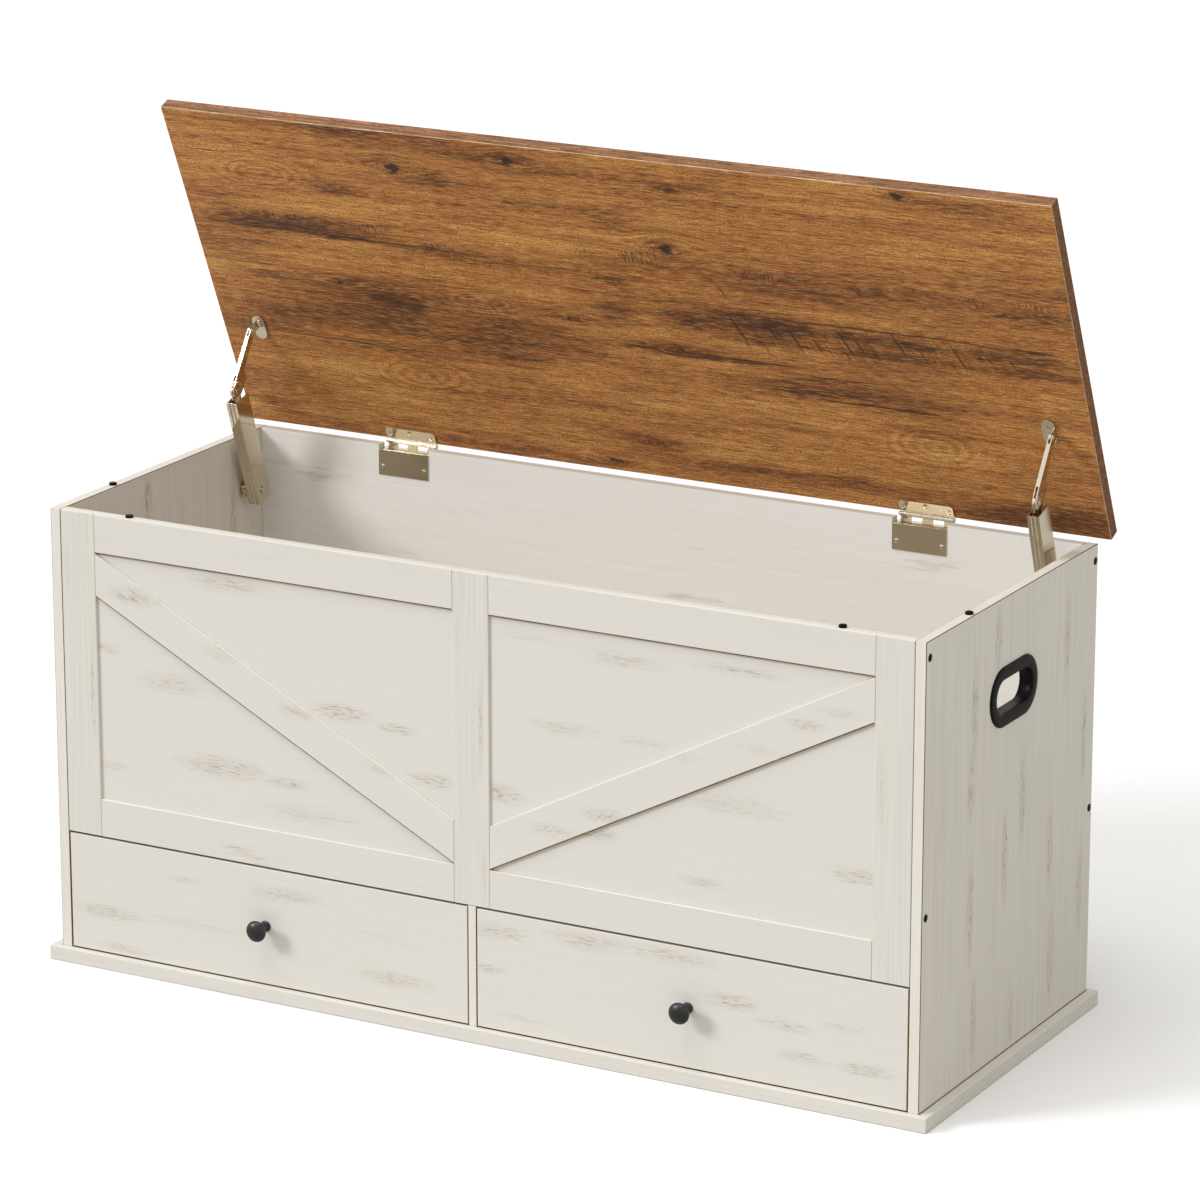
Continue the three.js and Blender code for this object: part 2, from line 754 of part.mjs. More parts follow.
function tongueOutline() {
  const outline = new THREE.Shape();
  outline.moveTo(-tongueFront, -plugTop - plugLength / 2);
  outline.lineTo(tongueBack, -plugTop - plugLength / 2);
  outline.lineTo(tongueBack, -tongueRadius);
  outline.quadraticCurveTo(stopPinReach, -tongueRadius, stopPinReach + stopPinLug, 0);
  outline.quadraticCurveTo(stopPinReach, tongueRadius, 0, tongueRadius);
  outline.quadraticCurveTo(-tongueFront, tongueRadius, -tongueFront, 0);
  return outline;
}

function addTongue(name, group) {
  const plugWidth = housingWidth - 2 * (housingWall + runningGap);
  const plugFront = -housingDepth / 2 + housingWall + runningGap;
  const plug = extrude(rectangle(plugWidth, -2 * plugFront), plugLength);
  plug.translate(0, 0, -plugTop - plugLength / 2);
  const headStart = armWidth / 2 + runningGap;
  const pieces = [
    extrudeAlongX(tongueOutline(), tongueThickness),
    plug,
    rodAlongX(kneePinRadius, 2 * (headStart + rivetHead)),
    rodAlongX(stopPinRadius, armWidth).translate(0, ...turned(0, stopPinReach, stopAngle)),
  ];
  for (const side of Object.values(sides)) {
    pieces.push(rodAlongX(rivetRadius, rivetHead).translate(side * (headStart + rivetHead / 2), 0, 0));
  }
  addPiece(name, join(...pieces), nickel(), group).position.z = stayHousingReach;
}

// The arm is a narrow channel. Its cheeks have a lobe behind the knee, with a curved slot for the stop pin.
function armOutline() {
  const outline = new THREE.Shape();
  outline.moveTo(0, -armKneeRadius);
  outline.quadraticCurveTo(armLobeReach, -armKneeRadius, armLobeReach, armLobeMiddle);
  outline.quadraticCurveTo(armLobeReach, armLobeTop, armNeck, armLobeTop);
  outline.lineTo(armEndRadius, armLength);
  outline.absarc(0, armLength, armEndRadius, 0, Math.PI, false);
  outline.lineTo(-armFront, armKneeRadius);
  outline.quadraticCurveTo(-armFront, -armKneeRadius, 0, -armKneeRadius);
  return outline;
}

function stopSlot() {
  const start = Math.PI / 2 + stopAngle - (armLean - stayLean);
  const end = start + armTravel;
  const half = stopPinRadius + runningGap;
  const outline = new THREE.Shape();
  outline.absarc(0, 0, stopPinReach + half, start, end, false);
  outline.absarc(...turned(stopPinReach, 0, end), half, end, end + Math.PI, false);
  outline.absarc(0, 0, stopPinReach - half, end, start, true);
  outline.absarc(...turned(stopPinReach, 0, start), half, start + Math.PI, start + 2 * Math.PI, false);
  return outline;
}

// The web joins the cheeks along the front edge, and stops short of the eye.
function armWeb() {
  const end = armLength - eyeRadius - eyeClearance;
  const frontAt = (z) => {
    const along = (z - armKneeRadius) / (armLength - armKneeRadius);
    return -armFront + along * (armFront - armEndRadius);
  };
  return extrudeAlongX(polygon(
    [frontAt(armWebStart), armWebStart],
    [frontAt(armWebStart) + armSheet, armWebStart],
    [frontAt(end) + armSheet, end],
    [frontAt(end), end],
  ), armWidth);
}

function addArm(name, group) {
  const cheek = extrudeAlongX(armOutline(), armSheet);
  const rivetX = (armWidth + rivetHead) / 2;
  const pieces = [armWeb(), rodAlongX(armPinRadius, armWidth).translate(0, 0, armLength)];
  for (const side of Object.values(sides)) {
    pieces.push(cheek.clone().translate(side * (armWidth - armSheet) / 2, 0, 0));
    pieces.push(rodAlongX(rivetRadius, rivetHead).translate(side * rivetX, 0, armLength));
  }
  const kneeBore = rodAlongX(kneePinRadius + runningGap, armWidth + cutOverrun);
  const slotCut = extrudeAlongX(stopSlot(), armWidth + cutOverrun);
  addPiece(name, cut(join(...pieces), kneeBore, slotCut), nickel(), group);
}

// The lid bracket is an oval plate under the lid, with an eye that hangs from its outer edge.
function addLidBracket(name, side) {
  const plateTop = stayLidDrop - runningGap;
  const plate = extrude(slot(bracketLength, bracketWidth), bracketThickness).rotateZ(Math.PI / 2);
  plate.translate(side * (tongueThickness - bracketWidth) / 2, 0, plateTop - bracketThickness / 2);
  const eye = new THREE.Shape();
  eye.moveTo(eyeRadius, plateTop - bracketThickness / 2);
  eye.lineTo(-eyeRadius, plateTop - bracketThickness / 2);
  eye.lineTo(-eyeRadius, 0);
  eye.absarc(0, 0, eyeRadius, Math.PI, 2 * Math.PI, false);
  eye.holes.push(circle(eyeBore, THREE.Path));
  const screwHole = extrude(circle(bracketScrewRadius), bracketThickness + cutOverrun);
  screwHole.translate(
    side * (tongueThickness - bracketWidth) / 2,
    bracketScrewInset - bracketLength / 2,
    plateTop - bracketThickness / 2,
  );
  const bracket = cut(join(plate, extrudeAlongX(eye, tongueThickness)), screwHole);
  const mesh = addPiece(name, bracket, nickel(), lidGroup);
  mesh.position.set(side * stayX, lidPinClosedY, lidPinClosedZ);
}

function addStay(name, side) {
  const housingGroup = new THREE.Group();
  housingGroup.position.set(side * stayX, pivotY, pivotZ);
  housingGroup.rotation.x = stayLean;
  chest.add(housingGroup);
  const armGroup = new THREE.Group();
  armGroup.position.z = stayHousingReach;
  armGroup.rotation.x = armLean - stayLean;
  housingGroup.add(armGroup);
  addBaseBracket(`${name}_stay_base_bracket`, side);
  addHousing(`${name}_stay_housing`, housingGroup);
  addTongue(`${name}_stay_tongue`, housingGroup);
  addArm(`${name}_stay_arm`, armGroup);
  addLidBracket(`${name}_stay_lid_bracket`, side);
}

addCabinetBoards();
addBackPanel();
addTrim();
addBumpers();
addLid();
for (const [name, side] of Object.entries(sides)) {
  addSidePanel(name, side);
  addHandleRing(name, side);
  addLowerLeaf(`${name}_hinge_lower_leaf`, side * hingeX);
  addUpperLeaf(`${name}_hinge_upper_leaf`, side * hingeX);
  addHingePin(`${name}_hinge_pin`, side * hingeX);
  addStay(name, side);
  addDrawer(name, side);
}

export default chest;
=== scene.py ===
# %% [markdown]
# A mule chest is a storage bench: a lift-up lid over an open chest, with drawers in the base. This lesson
# dresses a finished construction model of one. The boards, hinges, stays and drawers already have their
# real size and place. What is made here is how they look: laminate with a printed oak grain, nickel
# fittings, black knobs and rings, and the screws that hold it all together.

# %% Load the construction model
import json
import math

import bmesh
import bpy
from mathutils import Matrix, Vector


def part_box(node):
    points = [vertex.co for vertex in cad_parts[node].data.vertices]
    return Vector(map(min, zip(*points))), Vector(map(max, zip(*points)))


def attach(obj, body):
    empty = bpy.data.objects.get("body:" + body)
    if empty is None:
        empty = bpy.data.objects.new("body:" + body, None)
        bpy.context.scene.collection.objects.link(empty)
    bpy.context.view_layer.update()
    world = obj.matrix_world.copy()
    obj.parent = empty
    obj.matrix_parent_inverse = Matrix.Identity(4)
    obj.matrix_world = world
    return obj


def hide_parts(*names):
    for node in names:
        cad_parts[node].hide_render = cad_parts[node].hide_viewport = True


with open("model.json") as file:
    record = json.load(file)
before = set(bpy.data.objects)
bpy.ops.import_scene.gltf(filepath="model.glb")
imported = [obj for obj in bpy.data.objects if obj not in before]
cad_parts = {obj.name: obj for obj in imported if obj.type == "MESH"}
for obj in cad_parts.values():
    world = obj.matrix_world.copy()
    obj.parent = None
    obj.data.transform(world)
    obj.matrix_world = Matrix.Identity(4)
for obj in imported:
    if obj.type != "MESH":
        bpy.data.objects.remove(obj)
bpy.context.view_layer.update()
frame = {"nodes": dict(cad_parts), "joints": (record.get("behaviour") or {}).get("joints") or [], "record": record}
MM = 0.001
ACROSS = Vector((1.0, 0.0, 0.0))
BACKWARD = Vector((0.0, 1.0, 0.0))
UPWARD = Vector((0.0, 0.0, 1.0))
SIDES = {"left": -1.0, "right": 1.0}

# %% [markdown]
# The camera stands to the right of the chest and a little above it, some five metres away behind a long
# lens, as for a catalogue picture. A long lens keeps parallel edges nearly parallel. The angles were
# fitted to the edges of the real chest, and the lens has no shift, so that any other view of the model
# can reuse it.

# %% Camera
VIEW_AZIMUTH = math.radians(28.976)
VIEW_ELEVATION = math.radians(16.259)
FOCAL_PIXELS = 5433.3
IMAGE_WIDTH = 1200
SENSOR_WIDTH = 36.0
NEAREST = 0.1
FARTHEST = 100.0
CAMERA_PLACE = Vector((2.5528, -4.5426, 1.9246))

camera_data = bpy.data.cameras.new("catalogue_camera")
camera_data.sensor_fit = "HORIZONTAL"
camera_data.sensor_width = SENSOR_WIDTH
camera_data.lens = FOCAL_PIXELS / IMAGE_WIDTH * SENSOR_WIDTH
camera_data.clip_start = NEAREST
camera_data.clip_end = FARTHEST
camera = bpy.data.objects.new("catalogue_camera", camera_data)
camera.location = CAMERA_PLACE
camera.rotation_euler = (math.pi / 2 - VIEW_ELEVATION, 0.0, VIEW_AZIMUTH)
bpy.context.scene.collection.objects.link(camera)
bpy.context.scene.camera = camera
print("lens:", round(camera_data.lens, 1), "mm")

# %% [markdown]
# Every finish below is a small network of shader nodes, and the screws and rings are small networks of
# geometry nodes. Wiring nodes by hand takes many lines, so one class wraps a socket: arithmetic on it
# adds Math nodes, and a formula can be read as a formula.

# %% A socket that does arithmetic
class Value:
    def __init__(self, network, socket):
        self.network = network
        self.socket = socket

    def math(self, operation, *others):
        sockets = dict(enumerate((self,) + others))
        return self.network.node("ShaderNodeMath", {"operation": operation}, sockets)

    def __add__(self, other):
        return self.math("ADD", other)

    def __radd__(self, other):
        return self.math("ADD", other)

    def __sub__(self, other):
        return self.math("SUBTRACT", other)

    def __rsub__(self, other):
        return (self * -1.0) + other

    def __mul__(self, other):
        return self.math("MULTIPLY", other)

    def __rmul__(self, other):
        return self.math("MULTIPLY", other)

    def __truediv__(self, other):
        return self.math("DIVIDE", other)

    def larger(self, other):
        return self.math("MAXIMUM", other)

    def between(self, low, high):
        """0 below low, 1 above high and a soft step between them. Swap them for the reverse."""
        if low > high:
            return 1.0 - self.between(high, low)
        settings = {"interpolation_type": "SMOOTHSTEP"}
        sockets = {"Value": self, "From Min": low, "From Max": high}
        return self.network.node("ShaderNodeMapRange", settings, sockets)


print("arithmetic on sockets:", [name for name in vars(Value) if name.endswith("__")])

# %% [markdown]
# Any other node comes from a single method. It sets the node's own settings first, such as an operation
# or the stops of a ramp, and its sockets after, because some settings change which sockets a node has.

# %% A network, built node by node
class Network:
    def __init__(self, tree):
        self.tree = tree

    def node(self, kind, settings=None, sockets=None, out=0):
        node = self.tree.nodes.new(kind)
        for key, value in (settings or {}).items():
            if key == "stops":
                self.set_stops(node.color_ramp, value)
            else:
                setattr(node, key, value)
        for key, value in (sockets or {}).items():
            self.fill(node.inputs[key], value)
        return Value(self, node.outputs[out])

    def fill(self, socket, value):
        if isinstance(value, Value):
            self.tree.links.new(value.socket, socket)
        elif isinstance(value, list):
            for single in value:
                self.tree.links.new(single.socket, socket)
        else:
            socket.default_value = value

    def set_stops(self, ramp, stops):
        while len(ramp.elements) < len(stops):
            ramp.elements.new(1.0)
        for element, (position, color) in zip(ramp.elements, stops):
            element.position = position
            element.color = color

    def vector(self, operation, first, second):
        return self.node("ShaderNodeVectorMath", {"operation": operation}, {0: first, 1: second})

    def length(self, vector):
        return self.node("ShaderNodeVectorMath", {"operation": "LENGTH"}, {0: vector}, out="Value")

    def raised(self, height):
        """A vector that points straight up, this long."""
        return self.node("ShaderNodeCombineXYZ", None, {"X": 0.0, "Y": 0.0, "Z": height})


print("node types are set up by:", Network.node.__qualname__)

# %% [markdown]
# A finish is a network that ends in one surface shader. Its pattern is tied to the object's own
# coordinates, so it stays on the piece from every side and when the lid or a drawer moves.

# %% A finish: a network that ends in a surface
class Finish(Network):
    def __init__(self, name):
        self.material = bpy.data.materials.new(name)
        self.material.use_nodes = True
        super().__init__(self.material.node_tree)
        self.tree.nodes.clear()
        self.output = self.tree.nodes.new("ShaderNodeOutputMaterial")

    def surface(self, **sockets):
        names = {key.replace("_", " "): value for key, value in sockets.items()}
        shader = self.node("ShaderNodeBsdfPrincipled", None, names)
        self.tree.links.new(shader.socket, self.output.inputs["Surface"])
        return self.material

    def place(self):
        return self.node("ShaderNodeTexCoord", out="Object")

    def turned(self, vector, rotation, shift=(0.0, 0.0, 0.0)):
        sockets = {"Vector": vector, "Rotation": rotation, "Location": shift}
        return self.node("ShaderNodeMapping", None, sockets)

    def mix(self, factor, first, second):
        return self.node("ShaderNodeMix", {"data_type": "RGBA"}, {0: factor, 6: first, 7: second}, out=2)

    def noise(self, space, detail, rough=0.5, warp=0.0, out=0):
        sockets = {"Vector": space, "Scale": 1.0, "Detail": detail, "Roughness": rough, "Distortion": warp}
        return self.node("ShaderNodeTexNoise", None, sockets, out)

    def bump(self, height, distance, strength):
        sockets = {"Height": height, "Distance": distance, "Strength": strength}
        return self.node("ShaderNodeBump", None, sockets)


print("a finish adds:", [name for name in vars(Finish) if not name.startswith("__")])

# %% [markdown]
# Colours are easiest to pick as the screen shows them, from 0 to 255, but a shader works in linear light.
# One function turns the first into the second. Grain runs along a board, so a second helper turns the
# object's coordinates until the grain lies along X, and shifts them so that no two boards share a piece
# of the pattern. A third draws noise out along the grain. It takes the length and the width of one mark,
# in millimetres.

# %% Colour and grain helpers
def tint(red, green, blue):
    """The curve is the one of every screen: straight in the darkest shades and a power above them."""
    channels = []
    for level in (red, green, blue):
        share = level / 255.0
        low = share / 12.92
        high = ((share + 0.055) / 1.055) ** 2.4
        channels.append(low if share <= 0.04045 else high)
    return (*channels, 1.0)


GRAIN_TURNS = {"x": (0.0, 0.0, 0.0), "y": (0.0, 0.0, -math.pi / 2), "z": (0.0, math.pi / 2, 0.0)}
PATTERN_SHIFT = (3.7, 4.81, 2.59)


def grain_space(finish, place, along, seed):
    """The grain runs along an axis, or along a slope in the front that is given as an angle."""
    turn = GRAIN_TURNS[along] if isinstance(along, str) else (0.0, along, 0.0)
    return finish.turned(place, turn, tuple(step * seed for step in PATTERN_SHIFT))


def stretched(finish, space, size):
    """Coordinates in which a mark of this length and width, in millimetres, measures 1 by 1."""
    length, width = size
    return finish.vector("MULTIPLY", space, (1 / (length * MM), 1 / (width * MM), 1 / (width * MM)))


def streaks(finish, space, size, detail, rough=0.5, warp=0.0):
    return finish.noise(stretched(finish, space, size), detail, rough, warp)


print("a screen grey of 128 in linear light:", round(tint(128, 128, 128)[0], 3))

# %% [markdown]
# A print has places where more goes on: a knot, a dark zone, a patch where the wash is worn. Each of
# these is a soft oval, 1 at its centre and 0 from its rim on. A table of ovals gives one mask, the
# largest of them all.

# %% Oval places in a print
def oval_distance(finish, place, centre, reach):
    """0 at an oval's centre and 1 on its rim. A reach of 0 along an axis leaves that axis out."""
    factors = tuple(1 / size if size else 0.0 for size in reach)
    offset = finish.vector("MULTIPLY", finish.vector("SUBTRACT", place, centre), factors)
    return finish.length(offset)


def spot(finish, place, centre, reach):
    return oval_distance(finish, place, centre, reach).between(1.0, 0.0)


def spots(finish, place, table):
    """The largest of several spots. A row of the table is a centre, a reach and a strength."""
    total = None
    for centre, reach, strength in table:
        one = spot(finish, place, centre, reach) * strength
        total = one if total is None else total.larger(one)
    return total


print("oval helpers:", [helper.__name__ for helper in (oval_distance, spot, spots)])

# %% [markdown]
# The white boards wear a printed oak pattern under a chalky wash. Seen close, it is nearly plain: slow
# bands of warm and cool white, hair-fine lines along the grain, and here and there a worn patch where
# short grey-brown strokes show through. Each of these is one noise, drawn out along the grain and cut off
# at its own level. On the boards that show most, the worn patches lie at chosen places, and elsewhere a
# slow noise places them.

# %% Sizes and colours of the white wash
WASH_LIGHT = tint(222, 219, 211)
WASH_WARM = tint(221, 217, 207)
# The back panel's paler ground is painted light, for the brighter light inside the open chest.
WASH_PAINTED_LIGHT = tint(243, 241, 234)
WASH_LINE = tint(200, 195, 184)
WORN_DUST = tint(213, 208, 198)
WORN_STROKE = tint(178, 168, 153)
WORN_DEEP = tint(124, 110, 92)
WASH_BAND_SIZE = (600, 30)
WASH_LINE_SIZE = (200, 1.3)
WORN_STROKE_SIZE = (10, 0.9)
WORN_DUST_SIZE = (40, 3.2)
WORN_PATCH_SIZE = (140, 22)
WASH_RELIEF = 0.12 * MM
print("a worn stroke is about", WORN_STROKE_SIZE[0], "mm long and", WORN_STROKE_SIZE[1], "mm wide")

# %% [markdown]
# The wash is built up from the ground: bands, then lines, then the dust and the strokes of the worn
# patches. The strokes are also pressed a little into the surface, and the lines stand up from it.

# %% White-washed oak laminate
def white_wash(name, along, seed, worn_table=None, lined=1.0, coarse=1.0, ground=WASH_LIGHT):
    """How strongly the hair lines show is set by lined, and how large and dark worn strokes are by coarse."""
    finish = Finish(name)
    place = finish.place()
    space = grain_space(finish, place, along, seed)
    bands = streaks(finish, space, WASH_BAND_SIZE, detail=2.0)
    lines = streaks(finish, space, WASH_LINE_SIZE, detail=2.0, rough=0.6)
    stroke_size = [side * coarse for side in WORN_STROKE_SIZE]
    strokes = streaks(finish, space, stroke_size, detail=2.0, rough=0.6)
    dust = streaks(finish, space, WORN_DUST_SIZE, detail=5.0, rough=0.75)
    if worn_table:
        patches = spots(finish, place, worn_table)
    else:
        patches = streaks(finish, space, WORN_PATCH_SIZE, detail=2.0).between(0.60, 0.84)
    worn = (patches * 0.48 + dust * 0.7).between(0.40, 0.74) * patches.between(0.0, 0.25)
    color = finish.mix(bands.between(0.35, 0.66) * lined, ground, WASH_WARM)
    color = finish.mix(lines.between(0.40, 0.66) * (0.6 * lined), color, WASH_LINE)
    color = finish.mix(worn * 0.65, color, WORN_DUST)
    stroke = worn * strokes.between(0.48, 0.60)
    color = finish.mix(stroke * (0.44 * coarse), color, WORN_STROKE)
    deep = worn.between(0.35, 0.9) * patches.between(0.4, 0.9) * strokes.between(0.56, 0.66)
    color = finish.mix(deep * (0.42 * coarse), color, WORN_DEEP)
    return finish.surface(
        Base_Color=color,
        Roughness=0.55 + 0.14 * lines,
        Specular_IOR_Level=0.3,
        Normal=finish.bump(lines * 0.5 - stroke, WASH_RELIEF, 0.5),
    )


print("white wash ground:", [round(channel, 3) for channel in WASH_LIGHT[:3]])

# %% [markdown]
# Each board's narrow faces are closed with a plain cream strip, glued on. It is warmer than the wash, and
# only slow clouds and thin lines tell it from paint.

# %% Edge strip of the white boards
STRIP_PALE = tint(229, 226, 215)
STRIP_WARM = tint(225, 221, 209)
STRIP_LINE_SIZE = (120, 0.9)
STRIP_CLOUD_SIZE = (200, 30)
STRIP_RELIEF = 0.1 * MM


def edge_band(name, along, seed):
    finish = Finish(name)
    space = grain_space(finish, finish.place(), along, seed)
    lines = streaks(finish, space, STRIP_LINE_SIZE, detail=2.0, rough=0.6)
    clouds = streaks(finish, space, STRIP_CLOUD_SIZE, detail=2.0)
    color = finish.mix(clouds.between(0.35, 0.7), STRIP_PALE, STRIP_WARM)
    color = finish.mix(lines.between(0.48, 0.70) * 0.35, color, WASH_LINE)
    return finish.surface(
        Base_Color=color,
        Roughness=0.5 + 0.12 * lines,
        Specular_IOR_Level=0.35,
        Normal=finish.bump(lines, STRIP_RELIEF, 0.4),
    )


STRIP_SEED = 60
strips = {along: edge_band(f"cream_strip_{along}", along, STRIP_SEED) for along in GRAIN_TURNS}
print("edge strips:", [strip.name for strip in strips.values()])

# %% [markdown]
# The lid is the one board that turns, so its pattern is laid out as on the shut lid, where a place is
# simply a distance along the lid and one up from the hinge edge. The record of the hinge gives the axis
# and the angle, and turning the open lid's corners back gives the heights of the shut lid's two faces.

# %% The shut lid's own directions
JOINTS = {joint["name"]: joint for joint in frame["joints"]}
HINGE_PLACE = Vector(JOINTS["lid_hinge"]["pos_m"])
OPEN_ANGLE = math.radians(max(JOINTS["lid_hinge"]["range_deg"]))
OPENING = Matrix.Rotation(-OPEN_ANGLE, 3, "X")
LID_BACK_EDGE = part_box("base_board")[1].y


def from_closed(x, y, z):
    """Where a point of the shut lid is now, with the lid open."""
    return HINGE_PLACE + OPENING @ (Vector((x, y, z)) - HINGE_PLACE)


def to_closed(point):
    """Where a point of the open lid would be with the lid shut."""
    return HINGE_PLACE + OPENING.inverted() @ (point - HINGE_PLACE)


shut_heights = [to_closed(vertex.co).z for vertex in frame["nodes"]["lid"].data.vertices]
LID_UNDERSIDE = min(shut_heights)
LID_MIDDLE = (LID_UNDERSIDE + max(shut_heights)) / 2
print("shut lid's underside:", round(LID_UNDERSIDE / MM, 3), "middle:", round(LID_MIDDLE / MM, 3), "mm")

# %% [markdown]
# The lid wears a rustic brown print. It is streaky from dark walnut to golden oak, with knots, cracks,
# oval swirls and saw marks across the grain. Its colours come first: a ramp for the streaks, from dark to
# light, and single tints for what lies over them.

# %% Colours of the lid's print
RUSTIC_BLACK = tint(52, 40, 32)
RUSTIC_DARK = tint(100, 58, 33)
RUSTIC_ORANGE = tint(200, 122, 62)
RUSTIC_GOLD = tint(232, 186, 112)
RUSTIC_STOPS = [
    (0.36, tint(78, 47, 29)),
    (0.405, tint(116, 68, 39)),
    (0.45, tint(158, 98, 53)),
    (0.49, tint(184, 119, 62)),
    (0.53, tint(202, 137, 73)),
    (0.58, tint(220, 162, 89)),
    (0.64, tint(238, 187, 109)),
]
print("stops in the lid's ramp:", len(RUSTIC_STOPS))

# %% [markdown]
# The print's main forms lie at chosen places on the shut lid. Each row is an oval: how far along the lid
# and up from its hinge edge it lies, its half length and half width, all in millimetres, and a strength
# where it isn't 1. The knots and the swirls come first. A knot is a dark eye, and a swirl a set of oval
# rings.

# %% Knots and swirls
def lid_spot(x, up, half_length, half_width, strength=1.0):
    centre = (x * MM, LID_BACK_EDGE - up * MM, 0.0)
    return centre, (half_length * MM, half_width * MM, 0.0), strength


def lid_spots(*rows):
    return [lid_spot(*row) for row in rows]


KNOTS = lid_spots(
    (-234, 356, 13, 10), (-95, 381, 10, 9), (65, 295, 11, 12), (77, 207, 12, 10, 0.75),
    (-337, 203, 10, 7, 0.9), (-67, 192, 9, 5, 0.8), (338, 392, 12, 7), (-54, 13, 14, 7),
    (391, 207, 8, 6, 0.8), (56, 169, 12, 6, 0.7), (83, 366, 12, 5, 0.6), (427, 263, 7, 4, 0.8),
)
SWIRLS = lid_spots(
    (325, 88, 78, 36), (-262, 92, 90, 34), (-165, 199, 64, 17), (-400, 330, 80, 30),
)
print("knots:", len(KNOTS), "swirls:", len(SWIRLS))

# %% [markdown]
# Darker and golden zones give the lid its broad drawing, which is what shows from across a room. They
# overlap freely, since only the strongest counts at any place.

# %% Dark and golden zones
DARK_ZONES = lid_spots(
    (-350, 268, 190, 18, 0.8), (-190, 258, 110, 18, 0.6), (-340, 178, 200, 52, 0.75),
    (-290, 190, 90, 26, 0.85), (-420, 150, 120, 34, 0.6), (-130, 160, 160, 40, 0.6),
    (-60, 190, 60, 16, 0.5), (160, 208, 120, 34, 0.85), (290, 205, 150, 34, 0.75),
    (430, 205, 90, 30, 0.75), (60, 205, 60, 24, 0.6), (-5, 208, 40, 26, 0.6), (80, 172, 160, 22, 0.55),
    (240, 143, 200, 15, 0.75), (40, 270, 110, 26, 0.4), (250, 268, 200, 22, 0.4),
    (-5, 42, 70, 18, 0.75), (180, 24, 340, 15, 0.8), (-455, 28, 45, 20, 0.7), (-180, 8, 330, 12, 0.5),
    (-270, 396, 260, 14, 0.8), (-110, 380, 120, 12, 0.5), (80, 378, 120, 14, 0.5),
    (400, 385, 110, 16, 0.6), (-190, 345, 60, 20, 0.5), (-312, 320, 60, 12, 0.35),
    (-150, 130, 90, 16, 0.5), (200, 252, 170, 18, 0.5), (430, 10, 190, 38, 1.1),
    (0, 322, 110, 22, 0.25), (440, 352, 90, 24, 0.15),
)
GOLD_ZONES = lid_spots(
    (-310, 292, 190, 14, 1.25), (-450, 345, 80, 34, 0.8), (-110, 290, 160, 26, 0.8),
    (-380, 235, 120, 9, 0.5), (-200, 232, 120, 12, 0.5), (-300, 95, 260, 32, 0.75),
    (-250, 50, 200, 30, 0.55), (-50, 90, 160, 30, 0.5), (190, 108, 280, 22, 0.8),
    (330, 88, 140, 42, 0.6), (70, 332, 60, 30, 0.8), (200, 335, 220, 36, 0.55),
    (100, 245, 220, 14, 0.6), (-100, 222, 80, 10, 0.5), (400, 245, 100, 12, 0.4),
    (400, 120, 120, 30, 1.1), (-100, 46, 130, 20, 0.6),
)
print("dark zones:", len(DARK_ZONES), "golden zones:", len(GOLD_ZONES))

# %% [markdown]
# Over the zones lie black streaks, as from old weathering, and thin cracks that run along the grain.

# %% Black streaks and cracks
BLACK_STREAKS = lid_spots(
    (-350, 263, 110, 8), (-420, 265, 60, 12, 0.8), (-230, 258, 50, 6, 0.7), (180, 212, 46, 17),
    (115, 222, 45, 8, 0.8), (322, 210, 30, 13, 0.8), (250, 215, 60, 8, 0.6), (77, 207, 18, 14, 0.7),
    (30, 169, 60, 7), (110, 164, 90, 6, 0.9), (200, 155, 70, 5, 0.8), (200, 138, 100, 6, 0.8),
    (290, 131, 70, 5, 0.9), (-262, 182, 70, 20, 0.65), (-337, 203, 26, 8, 0.7), (-430, 200, 60, 8, 0.4),
    (440, 221, 60, 6, 0.85), (-195, 352, 22, 10, 0.6), (-312, 319, 50, 6, 0.5), (10, 322, 50, 7, 0.5),
    (75, 369, 40, 8, 0.6), (-5, 250, 50, 8, 0.5), (160, 93, 60, 7, 0.4), (-140, 130, 50, 10, 0.5),
)
CRACKS = lid_spots(
    (-300, 260, 90, 2.2), (-400, 268, 60, 1.1, 0.7), (-460, 352, 50, 1.1, 0.8),
    (-330, 124, 150, 1.4, 0.9), (-60, 253, 70, 1.0, 0.5), (270, 224, 210, 1.6, 0.9),
    (200, 263, 110, 0.9, 0.5), (120, 166, 120, 1.6, 0.9), (270, 129, 110, 1.6, 0.9),
    (-440, 212, 40, 1.0, 0.6), (-200, 213, 70, 1.0, 0.6),
)
print("black streaks:", len(BLACK_STREAKS), "cracks:", len(CRACKS))

# %% [markdown]
# The print also copies the marks of a saw. There are areas of fine slanting scratches, some single long
# strokes across the grain, and areas of close ticks. Strokes and ticks each have a slant of their own.

# %% Saw marks
SAWN = lid_spots(
    (160, 204, 90, 34), (270, 204, 90, 34, 0.9), (370, 206, 80, 30, 0.8), (-160, 186, 60, 18, 0.5),
    (-8, 205, 22, 18, 0.7),
)
SAW_STROKES = lid_spots(
    (129, 205, 30, 2.1), (189, 205, 31, 2.2), (247, 204, 30, 2.2), (306, 210, 27, 2.1),
    (370, 204, 29, 2.1), (166, 207, 20, 1.9, 0.8), (216, 196, 16, 1.9, 0.8), (262, 202, 22, 1.9, 0.7),
    (279, 193, 16, 1.9, 0.7), (331, 200, 18, 1.9, 0.7), (427, 205, 18, 1.9, 0.6),
    (119, 250, 12, 1.8, 0.8),
)
TICKED = lid_spots(
    (-186, 258, 11, 12), (-88, 250, 14, 9, 0.9), (-4, 247, 24, 8, 0.8), (28, 281, 46, 11, 0.9),
    (284, 271, 20, 12, 0.9), (396, 272, 24, 13, 0.85), (462, 276, 26, 9, 0.85),
    (-278, 272, 30, 12, 0.8), (-400, 278, 80, 8, 0.6), (-215, 262, 26, 8, 0.6), (180, 276, 60, 7, 0.5),
    (-8, 44, 36, 10, 0.5),
)
SAW_SLANT = math.radians(-63.8)
